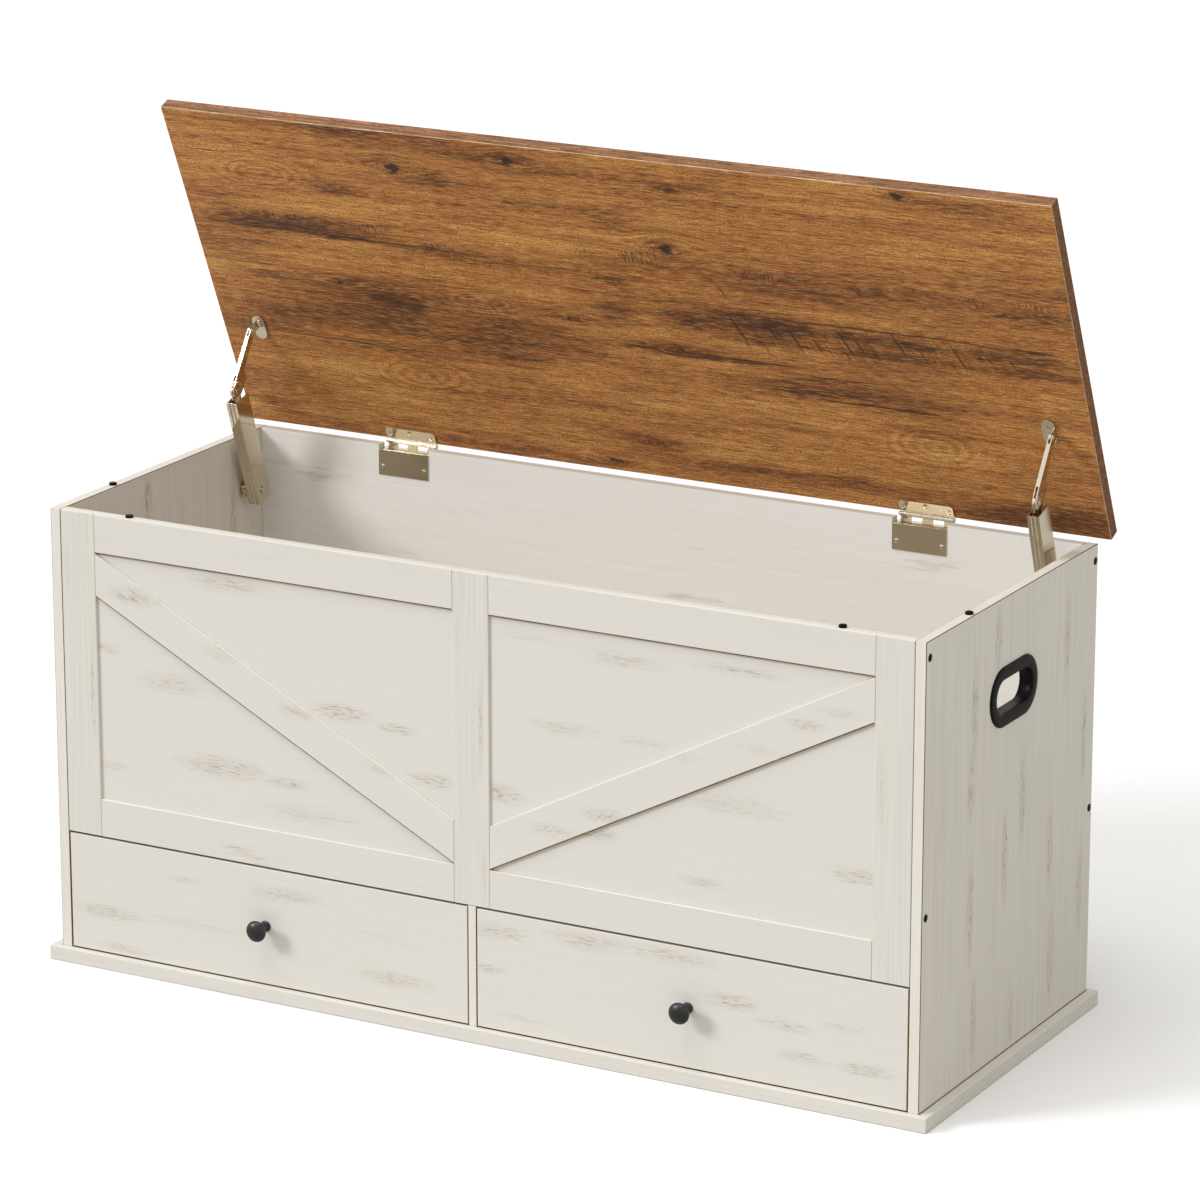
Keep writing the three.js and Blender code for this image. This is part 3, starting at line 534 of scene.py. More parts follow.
TICK_SLANT = math.radians(-80)
print("saw strokes:", len(SAW_STROKES), "sawn and ticked areas:", len(SAWN) + len(TICKED))

# %% [markdown]
# The pattern is worked out on the shut lid. Around a knot the grain flows aside: there the coordinates
# are drawn together across the grain before any streak is drawn, so that the lines spread round it. The
# ovals alone would look cut out, so their places are torn first. A streaky noise shifts them along the
# grain, and every outline turns ragged in the direction of the fibres.

# %% Places on the lid, bent and torn
KNOT_PULL = 0.85
KNOT_FLOW = (5.0, 2.8)


def lid_place(finish):
    """Places on the shut lid. On its top they are turned end for end, so that the two faces differ."""
    settings = {"rotation_type": "X_AXIS"}
    sockets = {"Vector": finish.place(), "Center": tuple(HINGE_PLACE), "Angle": OPEN_ANGLE}
    shut = finish.node("ShaderNodeVectorRotate", settings, sockets)
    height = finish.node("ShaderNodeSeparateXYZ", None, {"Vector": shut}, out="Z")
    sign = 1.0 - height.between(LID_MIDDLE - MM, LID_MIDDLE + MM) * 2.0
    turn = finish.node("ShaderNodeCombineXYZ", None, {"X": sign, "Y": sign, "Z": 1.0})
    return finish.vector("MULTIPLY", shut, turn)


def bent_round_knots(finish, place):
    """The lid's places, drawn together across the grain near each knot."""
    bent = place
    for centre, (half_length, half_width, depth), _ in KNOTS:
        reach = (half_length * KNOT_FLOW[0], half_width * KNOT_FLOW[1], depth)
        pull = spot(finish, place, centre, reach) * -KNOT_PULL
        offset = finish.vector("MULTIPLY", finish.vector("SUBTRACT", place, centre), (0.0, 1.0, 0.0))
        change = finish.node("ShaderNodeVectorMath", {"operation": "SCALE"}, {0: offset, "Scale": pull})
        bent = finish.vector("ADD", bent, change)
    return bent


def torn(finish, place, size, along, across):
    """Places shifted at random, up to half of these millimetres along and across the grain."""
    colored = finish.noise(stretched(finish, place, size), 4.0, 0.65, out="Color")
    centred = finish.vector("SUBTRACT", colored, (0.5, 0.5, 0.5))
    return finish.vector("ADD", place, finish.vector("MULTIPLY", centred, (along * MM, across * MM, 0.0)))


print("knots bend the grain up to", KNOT_FLOW[1], "times their own half width away")

# %% [markdown]
# A swirl's rings are a sine wave on the distance from its centre, and they fade out towards its rim. Saw
# marks are short thin streaks in coordinates that are turned away from the grain, and they show only in
# their own areas. A second noise breaks them up, so that no stroke runs on evenly.

# %% Swirls, cracks and saw marks
SWIRL_WAVES = 34.0
CRACK_TEAR_SIZE = (120, 50)
BREAK_SIZE = (12, 5)
SLANT_SIZE = (50, 2.8)
TICK_SIZE = (14, 2.1)


def rings(finish, place):
    """Oval rings in the swirls, from -1 to 1, fading out towards their rims."""
    total = 0.0
    for centre, reach, strength in SWIRLS:
        distance = oval_distance(finish, place, centre, reach)
        wave = (distance * SWIRL_WAVES).math("SINE")
        total = wave * distance.between(1.0, 0.45) * strength + total
    return total


def turned_streaks(finish, place, slant, size):
    return streaks(finish, finish.turned(place, (0.0, 0.0, slant)), size, detail=1.5, rough=0.5)


def turned_table(table, slant):
    turn = Matrix.Rotation(slant, 3, "Z")
    return [(tuple(turn @ Vector(centre)), reach, strength) for centre, reach, strength in table]


def marks(finish, place, frayed):
    """Cracks along the grain, slanting saw marks and fine ticks across the grain, as one mask."""
    cracks = spots(finish, torn(finish, place, CRACK_TEAR_SIZE, 0, 10), CRACKS).between(0.0, 0.5)
    broken = streaks(finish, place, BREAK_SIZE, detail=3.0, rough=0.6)
    slants = turned_streaks(finish, place, SAW_SLANT, SLANT_SIZE).between(0.50, 0.62)
    sawn = spots(finish, frayed, SAWN).between(0.0, 0.35) * slants * broken.between(0.38, 0.58)
    slanted = finish.turned(place, (0.0, 0.0, SAW_SLANT))
    strokes = spots(finish, slanted, turned_table(SAW_STROKES, SAW_SLANT)).between(0.0, 0.7)
    ticks = turned_streaks(finish, place, TICK_SLANT, TICK_SIZE).between(0.46, 0.57)
    ticked = spots(finish, frayed, TICKED).between(0.0, 0.35) * ticks
    drawn = cracks.larger(sawn * 0.62).larger(ticked * broken.between(0.3, 0.55) * 0.8)
    return drawn.larger(strokes * broken.between(0.20, 0.42))


print("rings in a swirl:", round(SWIRL_WAVES / math.tau, 1))

# %% [markdown]
# Now the whole print. Four noises of falling size, from slow bands to fine grain, add up to one tone,
# which the zones push towards gold or dark and the ramp turns into colour. Over it go dark specks, pale
# grain, thin strokes, the black streaks, the marks, and the knots last, each with a dark halo.

# %% Rustic brown laminate
WANDER_SIZE = (300, 60)
BAND_SIZE = (200, 9)
FIBRE_SIZE = (55, 2)
GRAIN_SIZE = (16, 1)
SPECK_SIZE = (3, 0.9)
STROKE_SIZE = (40, 1.1)
SOOT_SIZE = (22, 2)
ZONE_TEAR_SIZE = (60, 5)
SWIRL_TEAR_SIZE = (50, 20)
KNOT_TEAR_SIZE = (16, 6)
HALO_REACH = (2.6, 2.2)
RUSTIC_RELIEF = 0.2 * MM


def rustic_ground(finish, tone, wander):
    """The ramp's colour, with a duller brown where the slowest noise is low."""
    color = finish.node("ShaderNodeValToRGB", {"stops": RUSTIC_STOPS}, {"Fac": tone})
    duller = finish.mix(tone.between(0.35, 0.6), RUSTIC_DARK, RUSTIC_ORANGE)
    return finish.mix(wander.between(0.55, 0.36) * 0.35, color, duller)


def rustic(name, seed):
    finish = Finish(name)
    place = lid_place(finish)
    space = grain_space(finish, bent_round_knots(finish, place), "x", seed)
    wander = streaks(finish, space, WANDER_SIZE, detail=2.0)
    bands = streaks(finish, space, BAND_SIZE, detail=4.0, rough=0.6, warp=0.3)
    fibres = streaks(finish, space, FIBRE_SIZE, detail=3.0, rough=0.65)
    grain = streaks(finish, space, GRAIN_SIZE, detail=2.0, rough=0.6)
    specks = streaks(finish, space, SPECK_SIZE, detail=1.0, rough=0.5)
    frayed = torn(finish, place, ZONE_TEAR_SIZE, 120, 24)
    dark = spots(finish, frayed, DARK_ZONES)
    gold = spots(finish, frayed, GOLD_ZONES)
    tone = wander * 0.20 + bands * 0.34 + fibres * 0.26 + grain * 0.20 + gold * 0.055 - dark * 0.115
    tone = tone + rings(finish, torn(finish, place, SWIRL_TEAR_SIZE, 24, 7)) * 0.04
    color = rustic_ground(finish, tone, wander)
    shade = dark * 0.05 + fibres * 0.25
    color = finish.mix((specks + shade).between(0.60, 0.80) * 0.75, color, RUSTIC_DARK)
    color = finish.mix((grain - shade).between(0.34, 0.48) * 0.34, color, RUSTIC_GOLD)
    strokes = streaks(finish, space, STROKE_SIZE, detail=3.0, rough=0.7)
    color = finish.mix((strokes + dark * 0.05).between(0.53, 0.63) * 0.70, color, RUSTIC_DARK)
    soot = streaks(finish, space, SOOT_SIZE, detail=4.0, rough=0.72)
    black = spots(finish, frayed, BLACK_STREAKS).between(0.0, 0.6) * soot.between(0.40, 0.55)
    color = finish.mix(black * 0.8, color, RUSTIC_BLACK)
    color = finish.mix(marks(finish, place, frayed) * 0.82, color, RUSTIC_BLACK)
    halo = []
    for centre, reach, strength in KNOTS:
        halo.append((centre, (reach[0] * HALO_REACH[0], reach[1] * HALO_REACH[1], 0.0), strength))
    color = finish.mix(spots(finish, frayed, halo) * 0.6, color, RUSTIC_DARK)
    cores = spots(finish, torn(finish, place, KNOT_TEAR_SIZE, 24, 18), KNOTS)
    color = finish.mix((cores * 0.7 + soot * 0.9).between(0.58, 0.92) * 0.9, color, RUSTIC_BLACK)
    return finish.surface(
        Base_Color=color,
        Roughness=0.48 + 0.2 * fibres,
        Specular_IOR_Level=0.3,
        Normal=finish.bump(specks * -0.5 - fibres * 0.4, RUSTIC_RELIEF, 0.6),
    )


RUSTIC_SEED = 40
RUSTIC_OAK = rustic("rustic_oak", RUSTIC_SEED)
print("nodes in the lid's print:", len(RUSTIC_OAK.node_tree.nodes))

# %% [markdown]
# The lid's edges wear strips of the same kind, printed coarser, and its arrises get a pale painted
# highlight. The same function also gives a raw-board brown that is painted shade: in the joints and gaps,
# on undersides and along the side panels' edge strips.

# %% Edge strips of the lid, a painted highlight on its arrises, and painted shade
EDGE_LINE_SIZE = (30, 1.6)
EDGE_BAND_SIZE = (100, 6)
EDGE_SPECK_SIZE = (5, 1.5)


def rustic_edge(name, pale, middle, dark, seed, place_of=lid_place):
    finish = Finish(name)
    space = grain_space(finish, place_of(finish), "x", seed)
    lines = streaks(finish, space, EDGE_LINE_SIZE, detail=4.0, rough=0.7)
    bands = streaks(finish, space, EDGE_BAND_SIZE, detail=3.0)
    specks = streaks(finish, space, EDGE_SPECK_SIZE, detail=2.0, rough=0.7)
    color = finish.mix(bands.between(0.38, 0.62), middle, pale)
    color = finish.mix(lines.between(0.46, 0.60) * 0.8, color, dark)
    color = finish.mix(specks.between(0.48, 0.62) * 0.6, color, dark)
    return finish.surface(
        Base_Color=color,
        Roughness=0.62 + 0.15 * lines,
        Specular_IOR_Level=0.12,
        Normal=finish.bump(lines, WASH_RELIEF, 0.5),
    )


END_COLORS = (tint(148, 106, 74), tint(122, 84, 56), tint(78, 50, 32))
LONG_COLORS = (tint(176, 130, 94), tint(148, 106, 76), tint(92, 62, 44))
# The arris colours are a painted highlight along the lid's edges.
ARRIS_HIGHLIGHT_COLORS = (tint(226, 204, 168), tint(210, 184, 146), tint(170, 138, 102))
# A raw-board brown, used as painted shade in joints and gaps and on undersides.
PAINTED_SHADE_COLORS = (tint(136, 100, 36), tint(116, 84, 28), tint(82, 58, 19))
LONG_SEED = 41
ARRIS_SEED = 42
END_SEED = 43
PAINTED_SHADE_SEED = 44
LID_FINISHES = [
    RUSTIC_OAK,
    rustic_edge("rustic_end_strip", *END_COLORS, END_SEED),
    rustic_edge("rustic_edge_strip", *LONG_COLORS, LONG_SEED),
    rustic_edge("rustic_arris", *ARRIS_HIGHLIGHT_COLORS, ARRIS_SEED),
]
PAINTED_SHADE_BOARD = rustic_edge("raw_board", *PAINTED_SHADE_COLORS, PAINTED_SHADE_SEED, Finish.place)
print("lid finishes:", [finish.name for finish in LID_FINISHES])

# %% [markdown]
# The metals are plain by comparison. Nickel plate is a warm mirror that is never quite clean, so its
# roughness drifts. Zinc-plated slides are greyer and brushed along their length. Both have a slow noise
# for the clouds and a fast one for the brushing, whose marks are given by their sizes along X, Y and Z.

# %% Nickel and zinc
def plated(name, dull, bright, cloud, brush, roughness, relief):
    """The cloud is a size in millimetres and the brush three. Roughness is a least value and two shares."""
    finish = Finish(name)
    place = finish.place()
    clouds = finish.noise(finish.vector("DIVIDE", place, (cloud * MM,) * 3), 3.0)
    brushed = finish.noise(finish.vector("DIVIDE", place, tuple(side * MM for side in brush)), 2.0)
    low, cloudy, streaky = roughness
    return finish.surface(
        Base_Color=finish.mix(clouds, dull, bright),
        Metallic=1.0,
        Roughness=low + cloudy * clouds + streaky * brushed,
        Normal=finish.bump(brushed, relief, 0.4),
    )


NICKEL_COLORS = (tint(208, 197, 174), tint(222, 212, 192))
NICKEL_CLOUD = 40
NICKEL_BRUSH = (0.7, 0.7, 17)
NICKEL_ROUGHNESS = (0.09, 0.04, 0.04)
NICKEL_RELIEF = 0.003 * MM
ZINC_COLORS = (tint(176, 178, 180), tint(200, 201, 200))
ZINC_CLOUD = 11
ZINC_BRUSH = (0.67, 83, 0.67)
ZINC_ROUGHNESS = (0.29, 0.02, 0.14)
ZINC_RELIEF = 0.04 * MM
NICKEL = plated("nickel_plate", *NICKEL_COLORS, NICKEL_CLOUD, NICKEL_BRUSH, NICKEL_ROUGHNESS, NICKEL_RELIEF)
ZINC = plated("zinc_steel", *ZINC_COLORS, ZINC_CLOUD, ZINC_BRUSH, ZINC_ROUGHNESS, ZINC_RELIEF)
print("metals:", NICKEL.name, ZINC.name)

# %% [markdown]
# The black parts are satin: the rings and bumpers are moulded and grainy, and the knobs are painted and a
# little glossier. Black plastic is never quite black, so its level drifts a little from place to place.

# %% Black plastic and black paint
BLACK_DRIFT_SIZE = 14 * MM
BLACK_DRIFT = 8
BLACK_RELIEF = 0.03 * MM


def black_satin(name, level, shine, grain_size):
    finish = Finish(name)
    place = finish.place()
    grain = finish.noise(finish.vector("DIVIDE", place, (grain_size,) * 3), 2.0)
    drift = finish.noise(finish.vector("DIVIDE", place, (BLACK_DRIFT_SIZE,) * 3), 2.0)
    brighter = level + BLACK_DRIFT
    color = finish.mix(drift, tint(level, level, level), tint(brighter, brighter, brighter - 1))
    return finish.surface(
        Base_Color=color,
        Roughness=0.28 + 0.12 * drift,
        Specular_IOR_Level=shine,
        Normal=finish.bump(grain, BLACK_RELIEF, 0.4),
    )


BLACK_PLASTIC = black_satin("black_plastic", 12, 0.06, 0.6 * MM)
BLACK_PAINT = black_satin("black_paint", 8, 0.5, 0.9 * MM)
print("black finishes:", BLACK_PLASTIC.name, BLACK_PAINT.name)

# %% [markdown]
# A construction node is a mesh of loose triangles, and it may not be changed. So each board and fitting
# gets a dressed copy, which stands in for it: the triangles are merged into whole faces, sharp edges get
# a small round that catches the light, and weighted normals keep the broad faces flat beside the rounds.

# %% Merged and softened copies
MERGE_DISTANCE = 0.002 * MM
FLAT_ANGLE = math.radians(0.5)
SHARP_ANGLE = math.radians(35)
ROUND_SEGMENTS = 2


def new_object(name, data):
    piece = bpy.data.objects.new(name, data)
    bpy.context.scene.collection.objects.link(piece)
    return piece


def settle(piece):
    """Turns a piece with live modifiers into a plain mesh."""
    graph = bpy.context.evaluated_depsgraph_get()
    data = bpy.data.meshes.new_from_object(piece.evaluated_get(graph))
    piece.modifiers.clear()
    piece.data = data
    return piece


def smooth_faces(data):
    """Smooth shading, apart from the edges where two faces meet at a sharp angle."""
    for polygon in data.polygons:
        polygon.use_smooth = True
    data.set_sharp_from_angle(angle=SHARP_ANGLE)


def merged_copy(node):
    mesh = bmesh.new()
    mesh.from_mesh(frame["nodes"][node].data)
    bmesh.ops.remove_doubles(mesh, verts=mesh.verts, dist=MERGE_DISTANCE)
    bmesh.ops.dissolve_limit(mesh, angle_limit=FLAT_ANGLE, verts=mesh.verts, edges=mesh.edges)
    data = bpy.data.meshes.new(f"dressed_{node}")
    mesh.to_mesh(data)
    mesh.free()
    return data


def soften(piece, radius):
    smooth_faces(piece.data)
    bevel = piece.modifiers.new("soft_edges", "BEVEL")
    bevel.width = radius
    bevel.segments = ROUND_SEGMENTS
    bevel.limit_method = "ANGLE"
    bevel.angle_limit = SHARP_ANGLE
    weighted = piece.modifiers.new("flat_faces", "WEIGHTED_NORMAL")
    weighted.keep_sharp = True
    return settle(piece)


print("the lid's triangles merge into", len(merged_copy("lid").polygons), "faces")

# %% [markdown]
# A dressed copy takes its node's place, body and material slot from the record. A board has several
# finishes: one on its broad faces, the strip on its narrow ones, and on its undersides a raw-board brown
# that is painted shade, darkening the gaps below it. Which face gets which is read from the direction that
# the face looks in, once the rounds are there.

# %% Dressed copies of the construction nodes
BROAD_SHARE = 0.95
ROUND_SHARE = 0.2
UNDER_SHARE = 0.3
slot_of = {part["node"]: part["material_slot"] for part in frame["record"]["subparts"]}
body_of = {node: body for body, nodes in frame["record"]["behaviour"]["bodies"].items() for node in nodes}


def stand_in(piece, node):
    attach(piece, body_of[node])
    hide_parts(node)
    return piece


def dressed(node, finishes, radius, choose=None):
    """A dressed copy. From a face's normal, choose gives the place of its finish in the list."""
    data = merged_copy(node)
    for finish in finishes:
        data.materials.append(finish)
    piece = soften(new_object(f"dressed_{node}", data), radius)
    if choose:
        for polygon in piece.data.polygons:
            polygon.material_index = choose(polygon.normal)
    return stand_in(piece, node)


def board_face(broad):
    """Sorts a board's faces: 0 broad, 1 edge strip, 2 underside, 3 the round beside a broad face."""

    def choose(normal):
        share = abs(normal.dot(broad))
        if share > BROAD_SHARE:
            return 0
        if normal.z < -UNDER_SHARE:
            return 2
        return 3 if share > ROUND_SHARE else 1

    return choose


print("material slots:", sorted(set(slot_of.values())))

# %% [markdown]
# On the boards that show most, the worn places that the eye finds first are listed. A row gives the
# place on the front, or on a side, in millimetres, then the half width and half height of the oval and
# its strength.

# %% Worn places on the boards that show most
WORN_PLACES = {
    "front_panel": [
        (-280, 430, 80, 16, 0.75), (-350, 316, 80, 20, 0.7), (-290, 237, 85, 20),
        (-215, 232, 50, 12, 0.8), (-190, 203, 110, 20, 0.55), (-150, 316, 60, 16), (-86, 309, 40, 10),
        (-45, 262, 50, 14, 0.9), (-430, 342, 40, 9, 0.7), (-425, 218, 40, 8, 0.6),
        (170, 417, 90, 16, 0.65), (290, 425, 90, 10, 0.7), (100, 339, 90, 14, 0.6),
        (190, 338, 50, 9, 0.6), (34, 262, 40, 18, 0.9), (290, 290, 120, 22, 0.55),
        (419, 241, 50, 16, 0.85), (251, 207, 50, 10, 0.7), (136, 238, 50, 12, 0.9),
        (60, 425, 50, 10, 0.5),
    ],
    "left_drawer_front": [
        (-430, 60, 70, 12), (-330, 64, 100, 9, 0.55), (-215, 115, 80, 13, 0.8), (-340, 111, 60, 9, 0.5),
        (-90, 48, 75, 16, 0.8), (-102, 90, 60, 12, 0.4), (-415, 24, 60, 9, 0.7),
    ],
    "right_drawer_front": [
        (30, 119, 60, 16, 0.8), (130, 126, 80, 18, 0.75), (220, 128, 110, 15, 0.7), (20, 79, 30, 10, 0.8),
        (290, 93, 50, 15), (345, 79, 60, 13, 0.7), (365, 49, 50, 12, 0.8), (435, 49, 50, 12),
        (60, 32, 60, 8, 0.5), (410, 88, 50, 12, 0.5),
    ],
    "left_brace": [
        (-390, 402, 60, 18, 0.9), (-278, 358, 60, 16, 0.6), (-193, 312, 55, 18, 0.7),
        (-96, 268, 60, 18, 0.6),
    ],
    "right_brace": [
        (365, 383, 40, 12, 0.8), (400, 400, 40, 10, 0.6), (320, 350, 50, 12, 0.5),
        (238, 331, 50, 12, 0.4), (150, 258, 50, 14, 0.8), (92, 233, 50, 14, 0.7),
    ],
    "left_stile": [
        (-443, 290, 5, 90, 0.9), (-470, 420, 4, 60, 0.5),
    ],
    "middle_stile": [
        (11, 330, 6, 100, 0.8), (14, 180, 5, 50, 0.7), (-14, 420, 4, 50, 0.5),
    ],
    "right_stile": [
        (444, 330, 4, 90, 0.6), (466, 200, 4, 60, 0.4),
    ],
    "side_panel": [
        (-34, 446, 13, 60, 1.1), (-84, 385, 11, 80, 1.3), (-89, 310, 12, 60, 1.1),
        (-10, 215, 12, 75, 1.2), (29, 270, 15, 90, 1.0), (97, 195, 11, 75, 1.1), (127, 400, 11, 90, 1.0),
        (-86, 185, 13, 90, 1.1), (104, 80, 15, 80, 1.0), (170, 130, 13, 100, 0.9), (12, 50, 11, 60, 0.9),
        (-75, 70, 13, 80, 1.0), (172, 290, 11, 90, 0.9), (-150, 300, 9, 90, 0.5), (60, 380, 9, 60, 0.5),
    ],
}


def front_spot(x, z, half_width, half_height, strength=1.0):
    return (x * MM, 0.0, z * MM), (half_width * MM, 0.0, half_height * MM), strength


def side_spot(y, z, half_width, half_height, strength=1.0):
    return (0.0, y * MM, z * MM), (0.0, half_width * MM, half_height * MM), strength


def worn_table(node):
    """The side panels share one table. A board without one wears wherever its own noise says."""
    if node.endswith("side_panel"):
        return [side_spot(*row) for row in WORN_PLACES["side_panel"]]
    return [front_spot(*row) for row in WORN_PLACES.get(node, ())]


print("worn places set by hand:", sum(len(rows) for rows in WORN_PLACES.values()))

# %% [markdown]
# Grain follows each board's length: across the chest on rails, drawer fronts and the base, upright on
# stiles and side panels, and along the slope on the two braces. A brace is cut upright at both ends, so
# its slope follows from its box and its width. Each row of the table gives the grain, the direction that
# the broad faces look in, and how strongly the hair lines show.

# %% Grain of each white board
def brace_slope(node):
    low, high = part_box(node)
    stile_low, stile_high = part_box("left_stile")
    width = stile_high.x - stile_low.x
    run = high.x - low.x
    rise = high.z - low.z
    return math.acos(width / math.hypot(run, rise)) - math.atan2(run, rise)


slope = brace_slope("left_brace")
boards = {
    "base_board": ("x", UPWARD, 0.4),
    "front_panel": ("x", BACKWARD, 0.15),
    "back_panel": ("x", BACKWARD, 0.15),
    "chest_floor": ("x", UPWARD, 0.4),
    "drawer_divider": ("y", ACROSS, 0.4),
    "middle_stile": ("z", BACKWARD, 0.7),
}
for side, sign in SIDES.items():
    boards[f"{side}_side_panel"] = ("z", ACROSS, 0.8)
    boards[f"{side}_stile"] = ("z", BACKWARD, 0.7)
    boards[f"{side}_top_rail"] = ("x", BACKWARD, 0.3)
    boards[f"{side}_bottom_rail"] = ("x", BACKWARD, 0.3)
    boards[f"{side}_drawer_front"] = ("x", BACKWARD, 0.2)
    boards[f"{side}_brace"] = (sign * slope, BACKWARD, 0.15)
print("white boards:", len(boards), "brace slope:", round(math.degrees(slope), 2), "degrees")

# %% [markdown]
# Each board gets a seed of its own, so that a worn patch never runs on from one board into the next. The
# side panels are printed coarser than the rest, and the back panel, which shows behind the open chest, on
# a paler ground, which is painted light standing in for the brighter light inside the open chest. The base
# board has no strip, as its own wash runs over its edges.

# %% Finishes on the white boards
BOARD_ROUND = 0.25 * MM
SIDE_COARSE = 1.3
for seed, (node, (along, broad, lined)) in enumerate(boards.items(), start=1):
    coarse = SIDE_COARSE if node.endswith("side_panel") else 1.0
    ground = WASH_PAINTED_LIGHT if node == "back_panel" else WASH_LIGHT
    face = white_wash(f"white_oak_{node}", along, seed, worn_table(node), lined, coarse, ground)
    strip = face if node == "base_board" else strips.get(along, strips["x"])
    # Undersides get painted shade. On the side panels the rounds beside the broad faces get it too, as dark
    # painted shade lines along the edge strips.
    rounds = PAINTED_SHADE_BOARD if node.endswith("side_panel") else strip
    dressed(node, [face, strip, PAINTED_SHADE_BOARD, rounds], BOARD_ROUND, board_face(broad))
print("boards dressed:", len(boards))

# %% [markdown]
# The lid stands open, so its broad faces look in a turned direction. Its ends, its long edges and the
# arrises between them each take a strip of their own.

# %% Finishes on the lid
LID_FACING = OPENING @ UPWARD


def lid_face(normal):
    """Sorts the lid's faces: 0 broad, 1 end strip, 2 long strip, 3 arris."""
    if abs(normal.dot(LID_FACING)) > BROAD_SHARE:
        return 0
    if abs(normal.dot(ACROSS)) > BROAD_SHARE:
        return 1
    return 2 if abs(normal.dot(LID_FACING)) < ROUND_SHARE else 3


lid_copy = dressed("lid", LID_FINISHES, BOARD_ROUND, lid_face)
print("faces of the dressed lid:", len(lid_copy.data.polygons))

# %% [markdown]
# Where two boards meet, a thin brown line of painted shade shows. Along each trim's lower edge it is the
# painted shadow that the trim casts on the panel below, at the foot of each side panel it is a narrow bead
# of painted shade, and round each drawer opening it is painted shade in the gap. All of them are prisms in
# one piece, in the raw-board brown. First come those along the trims, whose lower edges are read from the
# mesh.

# %% Painted shadow lines along the trims
LINE_WIDTH = 0.8 * MM
LINE_RISE = 0.3 * MM
TRIM_SHADOW_RISE = 0.05 * MM
PRISM_CORNERS = 8
NO_SHIFT = Vector((0.0, 0.0, 0.0))
line_mesh = bmesh.new()


def add_prism(start, end, across, rise):
    corners = []
    for shift in (NO_SHIFT, across, rise, across + rise):
        corners += [line_mesh.verts.new(start + shift), line_mesh.verts.new(end + shift)]
    bmesh.ops.convex_hull(line_mesh, input=corners)


def lower_edges(node):
    """The edges of the node's front face that look down: start, end and outward direction."""
    mesh = bmesh.new()
    mesh.from_mesh(merged_copy(node))
    fronts = [face for face in mesh.faces if face.normal.y < -BROAD_SHARE]
    found = []
    for loop in max(fronts, key=lambda face: face.calc_area()).loops:
        start = loop.vert.co.copy()
        end = loop.link_loop_next.vert.co.copy()
        outward = BACKWARD.cross(end - start).normalized()
        if outward.z < -UNDER_SHARE:
            found.append((start, end, outward))
    mesh.free()
    return found


for node in ("left_brace", "right_brace", "left_top_rail", "right_top_rail"):
    for start, end, outward in lower_edges(node):
        add_prism(start, end, outward * -LINE_WIDTH, BACKWARD * -TRIM_SHADOW_RISE)
print("lines along trims:", len(line_mesh.verts) // PRISM_CORNERS)

# %% [markdown]
# The painted shade at a side panel's foot runs from front to back. A drawer opening is lined with painted
# shade on three sides: on the side panel, on the divider and on the base board, each as deep as the
# drawer's front is thick.

# %% Painted shade at the side panels' feet and round the drawer openings
divider_low, divider_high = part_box("drawer_divider")
for side, sign in SIDES.items():
    low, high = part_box(f"{side}_side_panel")
    outer = high.x if sign > 0 else low.x
    inner = low.x if sign > 0 else high.x
    divider = divider_high.x if sign > 0 else divider_low.x
    start = Vector((outer, low.y, low.z))
    end = Vector((outer, high.y, low.z))
    add_prism(start, end, ACROSS * (sign * LINE_WIDTH), UPWARD * LINE_RISE)
    front_low, front_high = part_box(f"{side}_drawer_front")
    deep = BACKWARD * (front_high.y - front_low.y)
    for wall, facing in ((inner, -sign), (divider, sign)):
        foot = Vector((wall, front_low.y, low.z))
        top = Vector((wall, front_low.y, front_high.z))
        add_prism(foot, top, deep, ACROSS * (facing * LINE_RISE))
    left_foot = Vector((front_low.x, front_low.y, low.z))
    right_foot = Vector((front_high.x, front_low.y, low.z))
    add_prism(left_foot, right_foot, deep, UPWARD * LINE_RISE)
# All the painted shadow and shade lines become one piece in the raw-board brown.
line_data = bpy.data.meshes.new("joint_lines")
line_mesh.to_mesh(line_data)
line_data.materials.append(PAINTED_SHADE_BOARD)
joint_lines = new_object("joint_lines", line_data)
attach(joint_lines, "cabinet")
print("brown lines in all:", len(line_mesh.verts) // PRISM_CORNERS)
line_mesh.free()

# %% [markdown]
# The drawer boxes are board under a plain foil, and the hinges, stays and slides are sheet metal. None of
# them has an edge strip, so one finish each is enough, and only the round on their edges differs.

# %% Finishes on the drawer boxes and the metal fittings
FITTING_ROUND = 0.15 * MM
FOIL_SEED = 31
fittings = {
    "nickel": (NICKEL, FITTING_ROUND),
    "slide_steel": (ZINC, FITTING_ROUND),
    "drawer_board": (white_wash("drawer_foil", "y", FOIL_SEED), BOARD_ROUND),
}
fitted = [node for node, slot in slot_of.items() if slot in fittings]
for node in fitted:
    finish, radius = fittings[slot_of[node]]
    dressed(node, [finish], radius)
print("drawer boards and fittings dressed:", len(fitted))

# %% [markdown]
# Knobs and bumpers are turned parts: an outline is spun round an axis. The outline has few points, with
# its round stretches as arcs, and the two ends close on the axis, so that the piece is one closed skin.

# %% Turned pieces
def arc(centre, radius, start, end, steps):
    """Points on an arc as (radius, along) pairs, with the angles in degrees."""
    angles = [math.radians(start + (end - start) * step / steps) for step in range(steps + 1)]
    return [(centre[0] + radius[0] * math.cos(a), centre[1] + radius[1] * math.sin(a)) for a in angles]


